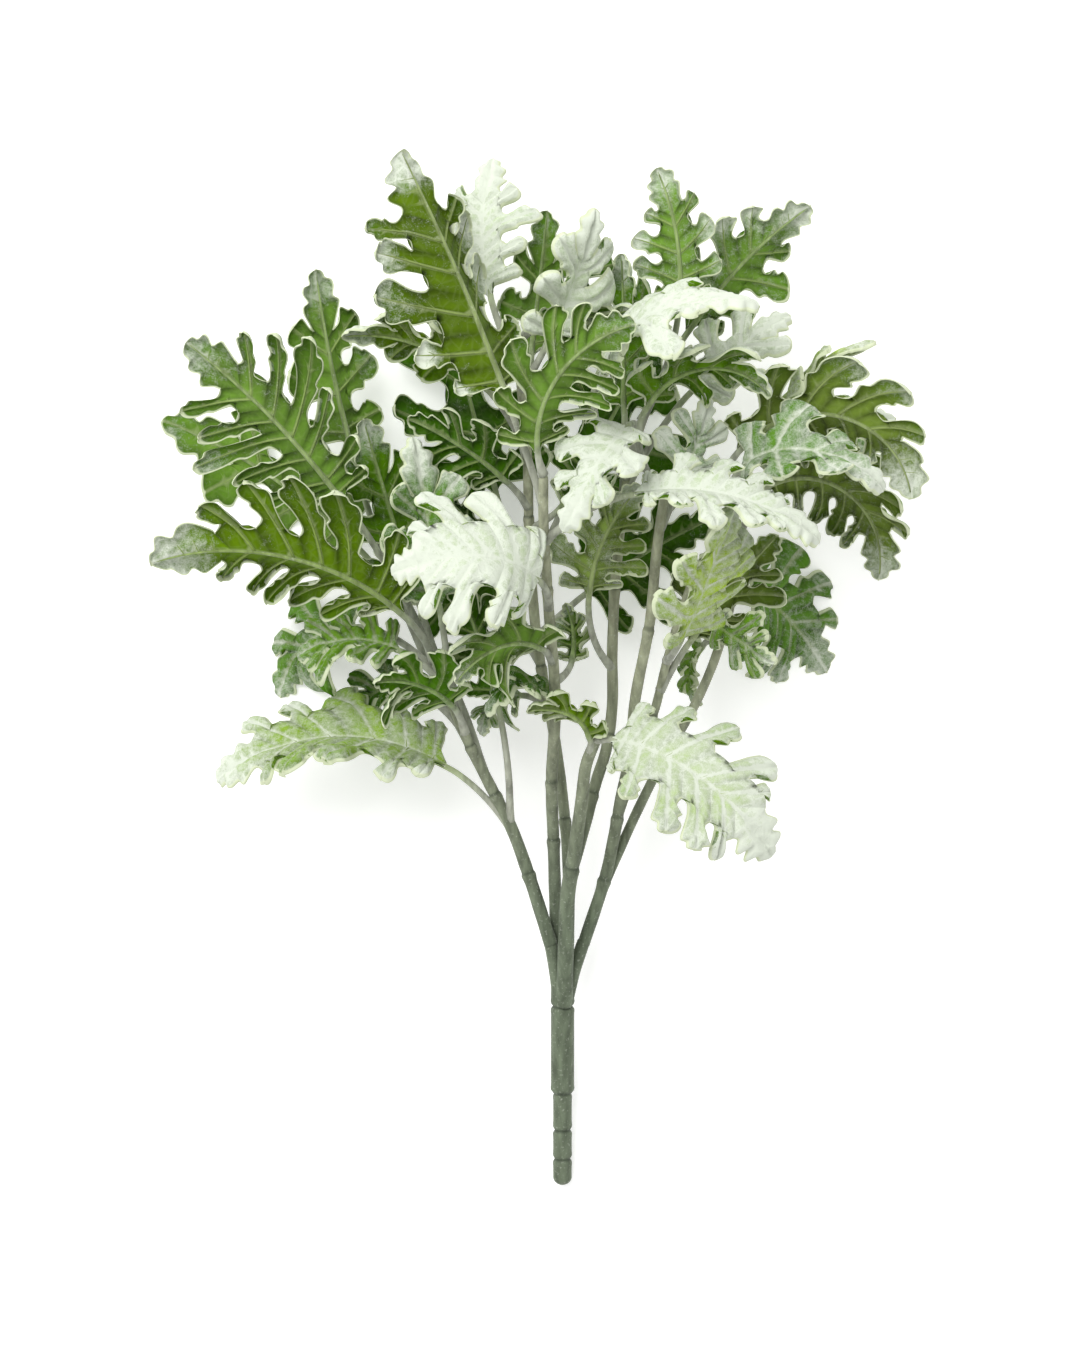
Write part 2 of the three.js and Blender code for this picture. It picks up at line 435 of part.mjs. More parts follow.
function leafSolid(leaf, root) {
  const { seed, start, pairs = 4, width = 1, web = WEB } = leaf;
  const run = leafRun(root, vec(leaf.mid), vec(leaf.tip), leaf.face);
  const length = run.length * (1 - start);
  const plan = leafPlan(seed, pairs, width);
  const blade = makeBlade(run, leaf, length);

  const points = [];
  const faces = [];
  const sheet = []; // flat corner -> its points on the two faces, and its place on the plan
  const corner = (x, y, lobe, rib = 0) => {
    const middle = blade.middle(x, y, lobe);
    const n = blade.normal(x, y, lobe);
    const up = middle.clone().addScaledVector(n, BLADE / 2);
    const down = middle.clone().addScaledVector(n, -BLADE / 2 - rib);
    const [low, high] = n.z > 0 ? [down, up] : [up, down];
    low.z = Math.max(low.z, 0);
    high.z = Math.max(high.z, BLADE);
    points.push(up, down);
    sheet.push([points.length - 2, points.length - 1]);
    return sheet.length - 1;
  };
  const ribAt = (x) => RIB_DEPTH * RIB_RADIUS * (1 - RIB_TAPER * x);

  // corners on the rib: the leaf's base, one between each two lobe pairs, one in the end lobe, the tip
  const feet = PAIRS[pairs].map(([foot]) => foot);
  const ends = [...feet, feet[feet.length - 1] + LAST_FOOT];
  const ribCorners = [corner(0, 0, null, ribAt(0))];
  feet.forEach((foot, k) => {
    const x = (foot + ends[k + 1]) / 2;
    ribCorners.push(corner(x * length, 0, null, ribAt(x)));
  });
  const heart = corner(END_HEART * length, 0, null, ribAt(END_HEART));
  const tip = corner(length, 0, null, 0);

  const rims = plan.map((lobes) => {
    const { hand } = lobes[0];
    const notches = [[0, RIB_RADIUS]];
    lobes.forEach((lobe, k) => {
      const wing = web * width * length * (k === lobes.length - 1 ? LAST_WING : 1);
      notches.push([((feet[k] + ends[k + 1]) / 2) * length + wing / Math.tan(lobe.angle), wing]);
    });
    const rim = [corner(0, hand * RIB_RADIUS, null)];
    lobes.forEach((lobe, k) => {
      const [cos, sin] = [Math.cos(lobe.angle), Math.sin(lobe.angle)];
      const size = lobe.reach * length;
      const base = lobe.foot * length;
      const place = (p, q) => [base + size * (p * cos + q * sin), hand * size * (p * sin - q * cos)];
      const onVein = ([x, y]) => ((x - base) * cos + y * sin) / size;
      const [before, after] = [onVein(notches[k]), onVein(notches[k + 1])];
      const vein = corner(...place(HEART + BACK_STEP * (before + after), 0), lobe);
      const around = [ribCorners[k], rim[rim.length - 1]];
      for (const [free, across] of k === 0 ? BASE_LOBE_EDGE : LOBE_EDGE) {
        const from = across < 0 ? before : after;
        const c = corner(...place(from + (1 - from) * free, (across * FULLNESS[pairs]) / width), lobe);
        rim.push(c);
        around.push(c);
      }
      const notch = corner(notches[k + 1][0], hand * notches[k + 1][1], null);
      rim.push(notch);
      around.push(notch, ribCorners[k + 1]);
      around.forEach((c, i) => {
        const d = around[(i + 1) % around.length];
        faces.push(hand > 0 ? [vein, c, d] : [vein, d, c]);
      });
    });
    for (const [along, beside] of END_LOBE) rim.push(corner(along * length, hand * beside * length, null));
    const around = [ribCorners[ribCorners.length - 1], ...rim.slice(-3), tip];
    for (let i = 0; i < around.length - 1; i++) {
      faces.push(hand > 0 ? [heart, around[i], around[i + 1]] : [heart, around[i + 1], around[i]]);
    }
    return [...rim, tip];
  });

  const skin = faces.flatMap(([a, b, c]) => [
    [sheet[a][0], sheet[c][0], sheet[b][0]],
    [sheet[a][1], sheet[b][1], sheet[c][1]],
  ]);
  rims.forEach((rim, h) => {
    for (let i = 0; i < rim.length - 1; i++) {
      const [[a, b], [c, d]] = [sheet[rim[i]], sheet[rim[i + 1]]];
      skin.push(...(h === 0 ? [[a, c, b], [b, c, d]] : [[a, b, c], [b, d, c]]));
    }
  });

  // the stalk: rings of six from the root to the blade's base, whose last ring is the blade's own corners
  const rings = [];
  const spans = Math.max(1, Math.round((start * run.length) / STALK_SPAN));
  for (let i = 0; i < spans; i++) {
    const f = run.at((start * i) / spans);
    const r = STALK_RADIUS + (RIB_RADIUS * 1.1 - STALK_RADIUS) * (i / spans);
    const ring = [];
    for (const turn of [90, 30, -30, -90, -150, 150]) {
      const p = f.place.clone().addScaledVector(f.side, r * Math.cos(radians(turn)));
      p.addScaledVector(f.up, r * Math.sin(radians(turn)));
      points.push(p);
      ring.push(points.length - 1);
    }
    rings.push(ring);
  }
  const [right, left] = rims.map((rim) => sheet[rim[0]]);
  const middle = sheet[ribCorners[0]];
  rings.push([middle[0], right[0], right[1], middle[1], left[1], left[0]]);
  for (let i = 0; i < spans; i++) {
    for (let k = 0; k < 6; k++) {
      const [a, b, c, d] = [rings[i][k], rings[i][(k + 1) % 6], rings[i + 1][k], rings[i + 1][(k + 1) % 6]];
      skin.push([a, c, b], [b, c, d]);
    }
  }
  for (let k = 1; k < 5; k++) skin.push([rings[0][0], rings[0][k], rings[0][k + 1]]);
  return solidOf(points, skin);
}

// ---------- the spray ----------
const spray = new THREE.Group();
const handle = pieceSolid("handle");
const handleRoom = pieceSolid("handle", SEAT_GAP);
spray.add(meshOf("handle", handle, GREY_STEM));

const room = { handle: handleRoom };
for (const piece of new Set(Object.values(LIMBS).map((limb) => limb.piece))) {
  if (piece === "handle") continue;
  room[piece] = pieceSolid(piece, SEAT_GAP);
  spray.add(meshOf(piece, largest(pieceSolid(piece).subtract(handleRoom)), GREY_STEM));
}

let seed = 0;
for (const [limb, leaves] of Object.entries(LEAVES)) {
  leaves.forEach((leaf, i) => {
    if (!leaf.seed) seed += 1;
    const root = curves[limb].getPointAt(leaf.at);
    const solid = leafSolid({ seed, ...leaf }, root).subtract(room[LIMBS[limb].piece]);
    const name = `leaf_${limb}_${String(i + 1).padStart(2, "0")}`;
    spray.add(meshOf(name, largest(solid), GREEN_LEAF));
  });
}

spray.position.set(-MIDDLE[0], -MIDDLE[1], 0);
export default spray;
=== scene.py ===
import math

import bpy
import numpy as np
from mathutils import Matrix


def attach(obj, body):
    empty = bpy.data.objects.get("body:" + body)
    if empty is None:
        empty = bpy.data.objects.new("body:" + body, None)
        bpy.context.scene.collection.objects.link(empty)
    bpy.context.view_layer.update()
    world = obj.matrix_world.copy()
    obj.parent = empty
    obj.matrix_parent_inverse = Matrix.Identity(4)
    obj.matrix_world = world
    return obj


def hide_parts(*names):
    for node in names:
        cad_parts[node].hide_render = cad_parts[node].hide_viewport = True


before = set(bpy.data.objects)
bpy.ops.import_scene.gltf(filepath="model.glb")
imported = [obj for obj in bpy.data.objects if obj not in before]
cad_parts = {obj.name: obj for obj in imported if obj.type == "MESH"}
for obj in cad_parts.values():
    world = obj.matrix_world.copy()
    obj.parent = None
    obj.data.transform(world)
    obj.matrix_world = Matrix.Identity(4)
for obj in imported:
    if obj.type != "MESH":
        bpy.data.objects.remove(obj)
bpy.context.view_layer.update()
print("frame loaded:", len(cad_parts), "nodes")

# Lengths are in millimetres until a mesh is made. X runs across the spray, Y from the handle's
# end to the leaf tips, Z up from the table it lies on.
footprintMiddle = np.array([-9.2, 201.4, 0.0])  # at the frame's origin
zUp = np.array([0.0, 0.0, 1.0])
tableClearance = 0.05  # no point of a mesh comes lower
farOff = 9.0  # the distance written where no edge or vein is near
tubeSides = dict(stem=18, handle=24, stalk=10, vein=6, branchVein=5)
clothSlot, stalkSlot = 0, 1  # of a leaf's two materials


def unit(v):
    return v / np.linalg.norm(v, axis=-1, keepdims=True)


def smooth(low, high, v):
    # an eased rise from 0 at low to 1 at high
    t = np.clip((v - low) / (high - low), 0, 1)
    return t * t * (3 - 2 * t)


def bell(d, width):
    return np.exp(-((d / width) ** 2))


def drawFrom(seed, k):
    # a repeatable draw from 0 to 1
    v = math.sin(seed * 12.9898 + k * 78.233) * 43758.5453
    return v - math.floor(v)


def spread(seed, k, reach):
    # such a draw from -reach to reach
    return reach * (2 * drawFrom(seed, k) - 1)


def colourOf(code):
    # a hex colour as linear red, green and blue
    parts = [int(code[i : i + 2], 16) / 255 for i in (1, 3, 5)]
    return np.array([c / 12.92 if c <= 0.04045 else ((c + 0.055) / 1.055) ** 2.4 for c in parts])


def blend(a, b, share):
    share = np.asarray(share, dtype=float)[..., None]
    return a * (1 - share) + b * share


def newObject(name, data):
    thing = bpy.data.objects.new(name, data)
    bpy.context.scene.collection.objects.link(thing)
    return thing


class PieceMesh:
    # collects the points and faces of one piece, and what its materials read at each point
    def __init__(self):
        self.points, self.faces, self.slots, self.count = [], [], [], 0
        self.facts = {"bodyColourAndShade": [], "frost": [], "edgeDistance": [], "veinDistance": []}

    def add(self, points, faces, slot, colour, frost=0.0, edge=farOff, vein=farOff):
        start, n = self.count, len(points)
        self.points.append(points)
        self.faces += [tuple(start + i for i in face) for face in faces]
        self.slots += [slot] * len(faces)
        self.count += n
        self.facts["bodyColourAndShade"].append(np.broadcast_to(colour, (n, 3)))
        for name, value in (("frost", frost), ("edgeDistance", edge), ("veinDistance", vein)):
            self.facts[name].append(np.broadcast_to(value, (n,)))

    def make(self, name, materials):
        points = np.concatenate(self.points)
        points[:, 2] = np.maximum(points[:, 2], tableClearance)
        mesh = bpy.data.meshes.new(name)
        mesh.from_pydata(((points - footprintMiddle) / 1000).tolist(), [], self.faces)
        mesh.polygons.foreach_set("material_index", self.slots)
        mesh.polygons.foreach_set("use_smooth", [True] * len(self.faces))
        for fact, parts in self.facts.items():
            values, kind, field = np.concatenate(parts), "FLOAT", "value"
            if fact == "bodyColourAndShade":
                values = np.concatenate([values, np.ones((len(values), 1))], axis=1)
                kind, field = "FLOAT_COLOR", "color"
            mesh.attributes.new(fact, kind, "POINT").data.foreach_set(field, values.ravel())
        for material in materials:
            mesh.materials.append(material)
        return newObject(name, mesh)


def tube(centres, radii, ups, sides):
    # rings round a line of centres, closed at both ends
    along = unit(np.gradient(centres, axis=0))
    ups = unit(ups - along * (ups * along).sum(-1, keepdims=True))
    across = np.cross(along, ups)
    turn = np.arange(sides) * 2 * math.pi / sides
    out = across[:, None] * np.cos(turn)[None, :, None] + ups[:, None] * np.sin(turn)[None, :, None]
    points = (centres[:, None] + out * np.asarray(radii)[:, None, None]).reshape(-1, 3)
    faces = []
    for i in range(len(centres) - 1):
        for k in range(sides):
            a, b = i * sides + k, i * sides + (k + 1) % sides
            faces.append((a, b, b + sides, a + sides))
    last = (len(centres) - 1) * sides
    faces.append(tuple(range(sides - 1, -1, -1)))
    faces.append(tuple(range(last, last + sides)))
    return points, faces


handleFacts = dict(
    path=[[0, 0, 3.05], [0, 40, 12.35], [0, 80, 21.65]],
    length=80, joints=[10.4, 22, 37, 71.6],  # from the end, along Y
    radius=4.6, tipRadius=3.7, thickFrom=37,
    dome=3, domeDepth=3.2,  # how far its end is rounded, and that curve's depth
    step=0.5, domeSteps=8,
    groove=(0.17, 0, 0.7), shoulder=(0.03, 1.8, 1.0), seam=(0.8, 0, 0.6),  # see ringAt
)
# A joint of a limb: the lower part ends in a lip, and the next leaves a dark groove.
jointForm = dict(
    lip=0.15, lipRuns=(2.2, 0.8),  # share of the radius, and how far it runs before and after the joint
    groove=(0.05, 1.6, 0.8), seam=(0.75, 1.4, 0.7),
)
limbForm = dict(unevenness=0.015, pace=0.37, endTaper=0.25, taperFrom=0.992)
# Each limb is a round stem through `path`, from radius r[0] to r[1], with joints at the given shares
# of its length. Limbs of one piece are one moulding.
limbs = {
    "stubLeft": dict(piece="handle", r=[2.9, 2.6], path=[[-1, 72, 20.5], [-2.4, 84, 23.5], [-5, 98, 27]]),
    "stubRight": dict(piece="handle", r=[2.9, 2.5], path=[[1, 72, 20.5], [4, 84, 22], [8.6, 98, 23.5]]),
    "stubFront": dict(piece="handle", r=[3.4, 3.1], path=[[0.5, 72, 21.5], [1, 86, 28], [1.4, 99, 33.5]]),
    "stubCentre": dict(piece="handle", r=[2.7, 2.4], path=[
        [-0.5, 72, 19.5], [-1.8, 86, 21], [-2.6, 101, 23]]),
    "stubBack": dict(piece="handle", r=[2.6, 2.3], path=[[0, 72, 18], [1.2, 84, 17.5], [2.4, 97, 17]]),
    "left": dict(piece="branch_left", r=[2.7, 1.9], joints=[0.24, 0.52, 0.7, 0.86], path=[
        [-4.6, 96, 26.5], [-12.8, 122, 33], [-20, 142, 39], [-29, 160, 44], [-36, 174, 49],
        [-44, 193, 55], [-50, 207, 58]]),
    "centre": dict(piece="branch_centre", r=[2.5, 1.9], joints=[0.2, 0.33, 0.52, 0.76], path=[
        [-2.5, 99, 22.6], [-3.6, 137, 37], [-4.4, 160, 50], [-3, 192, 70], [-5.6, 228, 92],
        [-7.6, 262, 110], [-7.6, 278, 118]]),
    "front": dict(piece="branch_front", r=[3.2, 2.2], joints=[0.35], path=[
        [1.4, 97, 32.6], [1.9, 115, 38], [4.4, 132, 46], [7.2, 152, 55], [9, 167, 61], [12.8, 177, 66]]),
    "frontRise": dict(piece="branch_front", r=[2.4, 1.8], joints=[0.17, 0.3, 0.62], path=[
        [3.4, 125, 42], [8.6, 143, 42], [13, 160, 42], [17, 173, 43], [19.3, 190, 45], [19.3, 212, 49],
        [20.6, 241, 57], [24.4, 275, 68], [30, 300, 77]]),
    "right": dict(piece="branch_right", r=[2.5, 1.9], joints=[0.14, 0.28, 0.42, 0.7], path=[
        [8.2, 96, 23.3], [16.6, 122, 30], [19.6, 136, 36], [23, 155, 43], [26.4, 172, 51],
        [28, 192, 60], [33.6, 223, 74], [36, 250, 86], [39, 272, 96]]),
    "rightOuter": dict(piece="branch_right", r=[2.0, 1.7], joints=[0.35, 0.66], path=[
        [15.6, 118, 28.6], [29, 148, 33], [40, 170, 37], [51, 189, 40], [60, 210, 46], [66, 235, 58],
        [65, 262, 72], [62, 278, 84]]),
    "rightInner": dict(piece="branch_right", r=[1.9, 1.6], joints=[0.4], path=[
        [21, 145, 39.6], [29, 168, 44], [36, 189, 52], [40, 206, 60], [45, 224, 70], [52, 244, 80]]),
    "back": dict(piece="branch_back", r=[2.3, 1.8], joints=[0.2, 0.45, 0.7], path=[
        [2.2, 95, 17], [2, 130, 19], [-2, 170, 26], [-10, 215, 36], [-13, 255, 50], [-14, 290, 68],
        [-18, 330, 86]]),
}


def curveThrough(path):
    # a centripetal curve through the points, as a function from the share of its length to a place,
    # and that length
    points = np.array(path, dtype=float)
    steps = np.linspace(0, 1, 81)[:, None]
    ends = [2 * points[0] - points[1], *points, 2 * points[-1] - points[-2]]
    samples = []
    for i in range(len(points) - 1):
        p0, p1, p2, p3 = ends[i : i + 4]
        d0, d1, d2 = (math.dist(a, b) ** 0.5 for a, b in ((p0, p1), (p1, p2), (p2, p3)))
        start = ((p1 - p0) / d0 - (p2 - p0) / (d0 + d1) + (p2 - p1) / d1) * d1
        finish = ((p2 - p1) / d1 - (p3 - p1) / (d1 + d2) + (p3 - p2) / d2) * d1
        t = steps if i == len(points) - 2 else steps[:-1]
        cubic = p1 + start * t + (-3 * p1 + 3 * p2 - 2 * start - finish) * t**2
        samples.append(cubic + (2 * p1 - 2 * p2 + start + finish) * t**3)
    line = np.concatenate(samples)
    reach = np.concatenate([[0], np.cumsum(np.linalg.norm(np.diff(line, axis=0), axis=1))])

    def at(share):
        far = np.asarray(share, dtype=float) * reach[-1]
        return np.stack([np.interp(far, reach, line[:, k]) for k in range(3)], axis=-1)

    return at, reach[-1]


curves = {name: curveThrough(limb["path"]) for name, limb in limbs.items()}

stemLook = dict(
    low=colourOf("#626c59"), high=colourOf("#9c9f86"), seam=colourOf("#3c4437"),
    lowEnd=95, highEnd=250,  # along Y, where the low colour ends and the high one is full
    streaks=130, streakStretch=(3, 0.5, 3), streakTones=(0.5, 1.35), streakShare=0.75,
    specks=900, speckReach=(0.6, 0.8), speck=colourOf("#c3c8ba"), speckShare=0.4, speckHeight=0.3,
    bumps=0.6, depth=0.0008, surface=(0.55, 0.05), stalkSurface=(0.7, 0.2),  # roughness and sheen
)


def stemColour(centres, dark):
    share = smooth(stemLook["lowEnd"], stemLook["highEnd"], centres[:, 1])
    return blend(blend(stemLook["low"], stemLook["high"], share), stemLook["seam"], dark)


def ringAt(d, ring):
    # a ring at the distance d from a joint: its height, its place after the joint and its width
    height, place, width = ring
    return height * bell(d - place, width)


def addStem(build, centres, radii, dark, sides):
    points, faces = tube(centres, radii, np.broadcast_to(zUp, centres.shape), sides)
    build.add(points, faces, 0, np.repeat(stemColour(centres, dark), sides, axis=0))


def growLimb(build, name):
    limb, form, joint = limbs[name], limbForm, jointForm
    at, length = curves[name]
    share = np.linspace(0, 1, int(length) + 1)
    thick, thin = limb["r"]
    radii, dark = thick + (thin - thick) * share, np.zeros(len(share))
    for j in limb.get("joints", []):
        d = (share - j) * length
        lip = joint["lip"] * bell(d, np.where(d < 0, *joint["lipRuns"]))
        radii *= 1 + lip - ringAt(d, joint["groove"])
        dark = np.maximum(dark, ringAt(d, joint["seam"]))
    uneven = form["unevenness"] * np.sin(share * length * form["pace"] + 2 * len(name))
    radii *= 1 + uneven - form["endTaper"] * smooth(form["taperFrom"], 1, share)
    addStem(build, at(share), radii, dark, tubeSides["stem"])


def growHandle(build):
    form, dome = handleFacts, handleFacts["dome"]
    at, _ = curveThrough(form["path"])
    shaft = np.arange(dome + form["step"], form["length"], form["step"])
    far = np.concatenate([np.linspace(0, dome, form["domeSteps"] + 1), shaft, [form["length"]]])
    radii = np.where(far < form["thickFrom"], form["tipRadius"], form["radius"])
    inDome = (dome - np.minimum(far, dome)) / form["domeDepth"]
    radii, dark = radii * np.sqrt(np.clip(1 - inDome**2, 0.05, 1)), np.zeros(len(far))
    for j in form["joints"]:
        d = far - j
        radii *= 1 - ringAt(d, form["groove"]) + ringAt(abs(d), form["shoulder"])
        dark = np.maximum(dark, ringAt(d, form["seam"]))
    addStem(build, at(far / form["length"]), radii, dark, tubeSides["handle"])


# A leaf springs from its limb at the share `at` of the limb's length, passes `mid` half way and ends
# at `tip`. face: how the upper side is turned, 90 straight up, 0 on edge, -90 straight down. start: the
# share of the whole that is stalk. width: against an ordinary leaf. fold: degrees that each half rises
# from the rib. pairs: of lobes. web: half width of the blade between them. seed: of its draws, where it
# isn't the running number. look: one of the looks below. frost: how white the upper side, the
# underside, the lobes' ends and the tip are. What a row doesn't give is as in usualLeaf.
usualLeaf = dict(
    face=-60, start=0.3, width=1.0, pairs=3, web=0.1, look="deepGreen", frost=[0.2, 0.02, 0.1, 0.1])
leaves = {}
leaves["left"] = [
    dict(at=1.0, mid=[-90, 276, 82], tip=[-145, 330, 84], face=-62, start=0.46, width=1.05, pairs=6,
         look="blueGreen", frost=[0.5, 0.08, 0.4, 0.2]),
    dict(at=0.96, mid=[-86, 241, 94], tip=[-158, 245, 86], face=-52, start=0.25, width=0.85, fold=24,
         pairs=6, look="olive", frost=[0.6, 0, 0.08, 0.6]),
    dict(at=0.22, mid=[-52, 170, 46], tip=[-135, 160, 40], face=34, start=0.38, width=0.9, fold=20,
         pairs=5, web=0.17, look="paleGreen", frost=[0.42, 0.1, 0.4, 0.35]),
    dict(at=0.925, mid=[-82, 221, 34], tip=[-112, 193, -4], face=60, start=0.45,
         look="greyGreen", frost=[0.2, 0.04, 0.3, 0.2]),
    dict(at=0.87, mid=[-74, 215, 60], tip=[-103, 208, 48], face=40, start=0.4, width=1.25, pairs=4,
         look="green", frost=[0.25, 0.05, 0.2, 0.15]),
    dict(at=0.75, mid=[-55, 198, 76], tip=[-73, 199, 86], face=-50, width=1.35,
         look="brightGreen", frost=[0.12, 0, 0.1, 0.1]),
    dict(at=0.42, mid=[-24, 184, 54], tip=[-43, 240, 51], face=-80, start=0.5, frost=[0.3, 0, 0.1, 0.1]),
    dict(at=0.82, mid=[-62, 248, 42], tip=[-78, 302, 42], face=-70, start=0.45, width=0.95,
         look="greyGreen", frost=[0.35, 0.08, 0.45, 0.4]),
    dict(at=0.84, mid=[-50, 244, 74], tip=[-58, 294, 76], face=66, start=0.4, width=0.9,
         look="greyGreen", frost=[0.3, 0.1, 0.5, 0.4]),
    dict(at=0.65, mid=[-82, 286, 31], tip=[-97, 361, 34], start=0.66, width=0.9,
         look="green", frost=[0.4, 0.04, 0.3, 0.35]),
    dict(at=0.6, mid=[-98, 268, 8], tip=[-159, 303, -6], face=-58, start=0.55, width=0.75,
         look="green", frost=[0.3, 0.02, 0.2, 0.1]),
    dict(at=0.695, mid=[-61, 196, 36], tip=[-83, 187, 15], face=60, start=0.48, width=0.98,
         seed=60, frost=[0.15, 0.04, 0.3, 0.2]),
]
leaves["centre"] = [
    dict(at=1.0, mid=[-5, 310, 136], tip=[27, 334, 142], face=-76, start=0.13, pairs=5,
         look="green", frost=[0.5, 0.0, 0.2, 0.25]),
    dict(at=0.94, mid=[-31, 332, 112], tip=[-62, 402, 104], face=-120, width=0.95, fold=42, pairs=5,
         web=0.14, look="duskOlive", frost=[0.6, 0.08, 1.45, 0.1]),
    dict(at=0.72, mid=[-36, 247, 127], tip=[-65, 240, 124], face=62, start=0.24, width=1.35, pairs=4,
         web=0.17, look="whiteTop", frost=[1.05, 0.1, 0.2, 0.2]),
    dict(at=0.6, mid=[-20, 214, 98], tip=[-41, 199, 103], face=-50, start=0.2, width=1.2, web=0.15,
         look="green", frost=[0.5, 0.05, 0.35, 0.3]),
    dict(at=0.45, mid=[-14, 198, 74], tip=[-29, 186, 78], face=20, width=1.1,
         frost=[0.2, 0.02, 0.25, 0.2]),
    dict(at=0.56, mid=[4, 209, 60], tip=[1, 230, 52], start=0.4,
         look="greyGreen", frost=[0.4, 0.1, 0.4, 0.3]),
    dict(at=0.86, mid=[50, 272, 126], tip=[97, 252, 120], face=40, start=0.36, width=0.72, pairs=5,
         web=0.15, look="whiteTop", frost=[1.0, 0.05, 0.2, 0.3]),
]
leaves["front"] = [
    dict(at=1.0, mid=[46, 167, 90], tip=[80, 132, 82], face=68, start=0.1, width=0.95, fold=5, pairs=5,
         web=0.15, look="paleTop", frost=[0.7, 0.08, 0.24, 0.6]),
    dict(at=0.92, mid=[4, 186, 78], tip=[-14, 188, 84], face=-35, start=0.2,
         look="olive", frost=[0.3, 0, 0.15, 0.15]),
]
leaves["frontRise"] = [
    dict(at=0.45, mid=[11, 240, 76], tip=[30, 275, 80], face=-78, start=0.45, width=1.1, pairs=4,
         look="paleOlive", frost=[0.6, 0.22, 0.4, 0.3]),
    dict(at=0.94, mid=[20, 292, 118], tip=[0, 256, 127], face=58, start=0.4, width=0.9, web=0.15,
         look="whiteTop", frost=[0.98, 0.1, 0.2, 0.2]),
    dict(at=1.0, mid=[45, 348, 83], tip=[36, 397, 82], face=-72, start=0.45, width=0.9, pairs=4,
         web=0.14, look="green", frost=[0.6, 0.2, 0.5, 0.35]),
    dict(at=0.91, mid=[56, 346, 62], tip=[96, 384, 64], start=0.45, width=0.95, pairs=4, web=0.14,
         look="green", frost=[0.5, 0.2, 0.8, 0.3]),
    dict(at=0.87, mid=[36, 340, 121], tip=[74, 341, 132], face=20, start=0.4, pairs=4, web=0.17,
         look="whiteTop", frost=[1.0, 0.05, 0.2, 0.2]),
    dict(at=0.83, mid=[58, 320, 76], tip=[88, 341, 68], face=60, start=0.5, width=1.1,
         look="whiteTop", frost=[0.85, 0.1, 0.2, 0.2]),
    dict(at=0.79, mid=[24, 330, 56], tip=[23, 366, 50], face=-45, start=0.4,
         look="greyGreen", frost=[0.4, 0.15, 0.4, 0.3]),
]
leaves["right"] = [
    dict(at=1.0, mid=[49, 318, 110], tip=[79, 308, 107], face=-30, start=0.4,
         look="whiteTop", frost=[0.85, 0.08, 0.2, 0.2]),
    dict(at=0.92, mid=[50, 288, 88], tip=[56, 309, 87], face=60, start=0.25, width=1.05,
         look="greyGreen", frost=[0.6, 0.15, 0.5, 0.4]),
]
leaves["rightInner"] = [
    dict(at=0.62, mid=[54, 236, 106], tip=[66, 272, 112], face=34, pairs=4, web=0.15,
         look="paleOlive", frost=[0.46, 0.1, 0.3, 0.25]),
    dict(at=0.5, mid=[60, 230, 67], tip=[83, 256, 76], width=1.2, pairs=4,
         look="oliveFrost", frost=[0.5, 0.1, 0.25, 0.1]),
    dict(at=0.86, mid=[66, 217, 76], tip=[82, 207, 84], face=50, width=1.3,
         look="green", frost=[0.25, 0.08, 0.2, 0.2]),
]
leaves["rightOuter"] = [
    dict(at=1.0, mid=[102, 302, 92], tip=[134, 270, 84], face=-55, start=0.12, width=0.85, pairs=5,
         look="oliveFrost", frost=[0.5, 0.02, 0.4, 0.6]),
    dict(at=0.89, mid=[103, 277, 61], tip=[123, 239, 52], face=-48, start=0.2, width=1.05, pairs=5,
         look="oliveFrost", frost=[0.5, 0.1, 0.35, 0.35]),
    dict(at=0.93, mid=[97, 287, 109], tip=[122, 272, 105], face=50, start=0.25, width=0.72, web=0.16,
         look="greyGreen", frost=[0.5, 0.1, 0.4, 0.35]),
    dict(at=0.85, mid=[88, 310, 52], tip=[122, 332, 48], face=-8, start=0.4, width=0.85,
         look="paleOlive", frost=[0.42, 0.05, 0.2, 0.2]),
    dict(at=0.8, mid=[98, 290, 34], tip=[131, 303, 26], face=60, start=0.4, width=0.9,
         look="greyGreen", frost=[0.5, 0.15, 0.5, 0.5]),
    dict(at=0.69, mid=[81, 231, 19], tip=[105, 203, -8], face=76, start=0.25, width=1.25, pairs=4,
         web=0.14, look="greyGreen", frost=[0.2, 0.08, 0.25, 0.35]),
    dict(at=0.6, mid=[54, 213, 38], tip=[54, 190, 34], face=20, width=0.9,
         look="green", frost=[0.2, 0.08, 0.3, 0.3]),
]
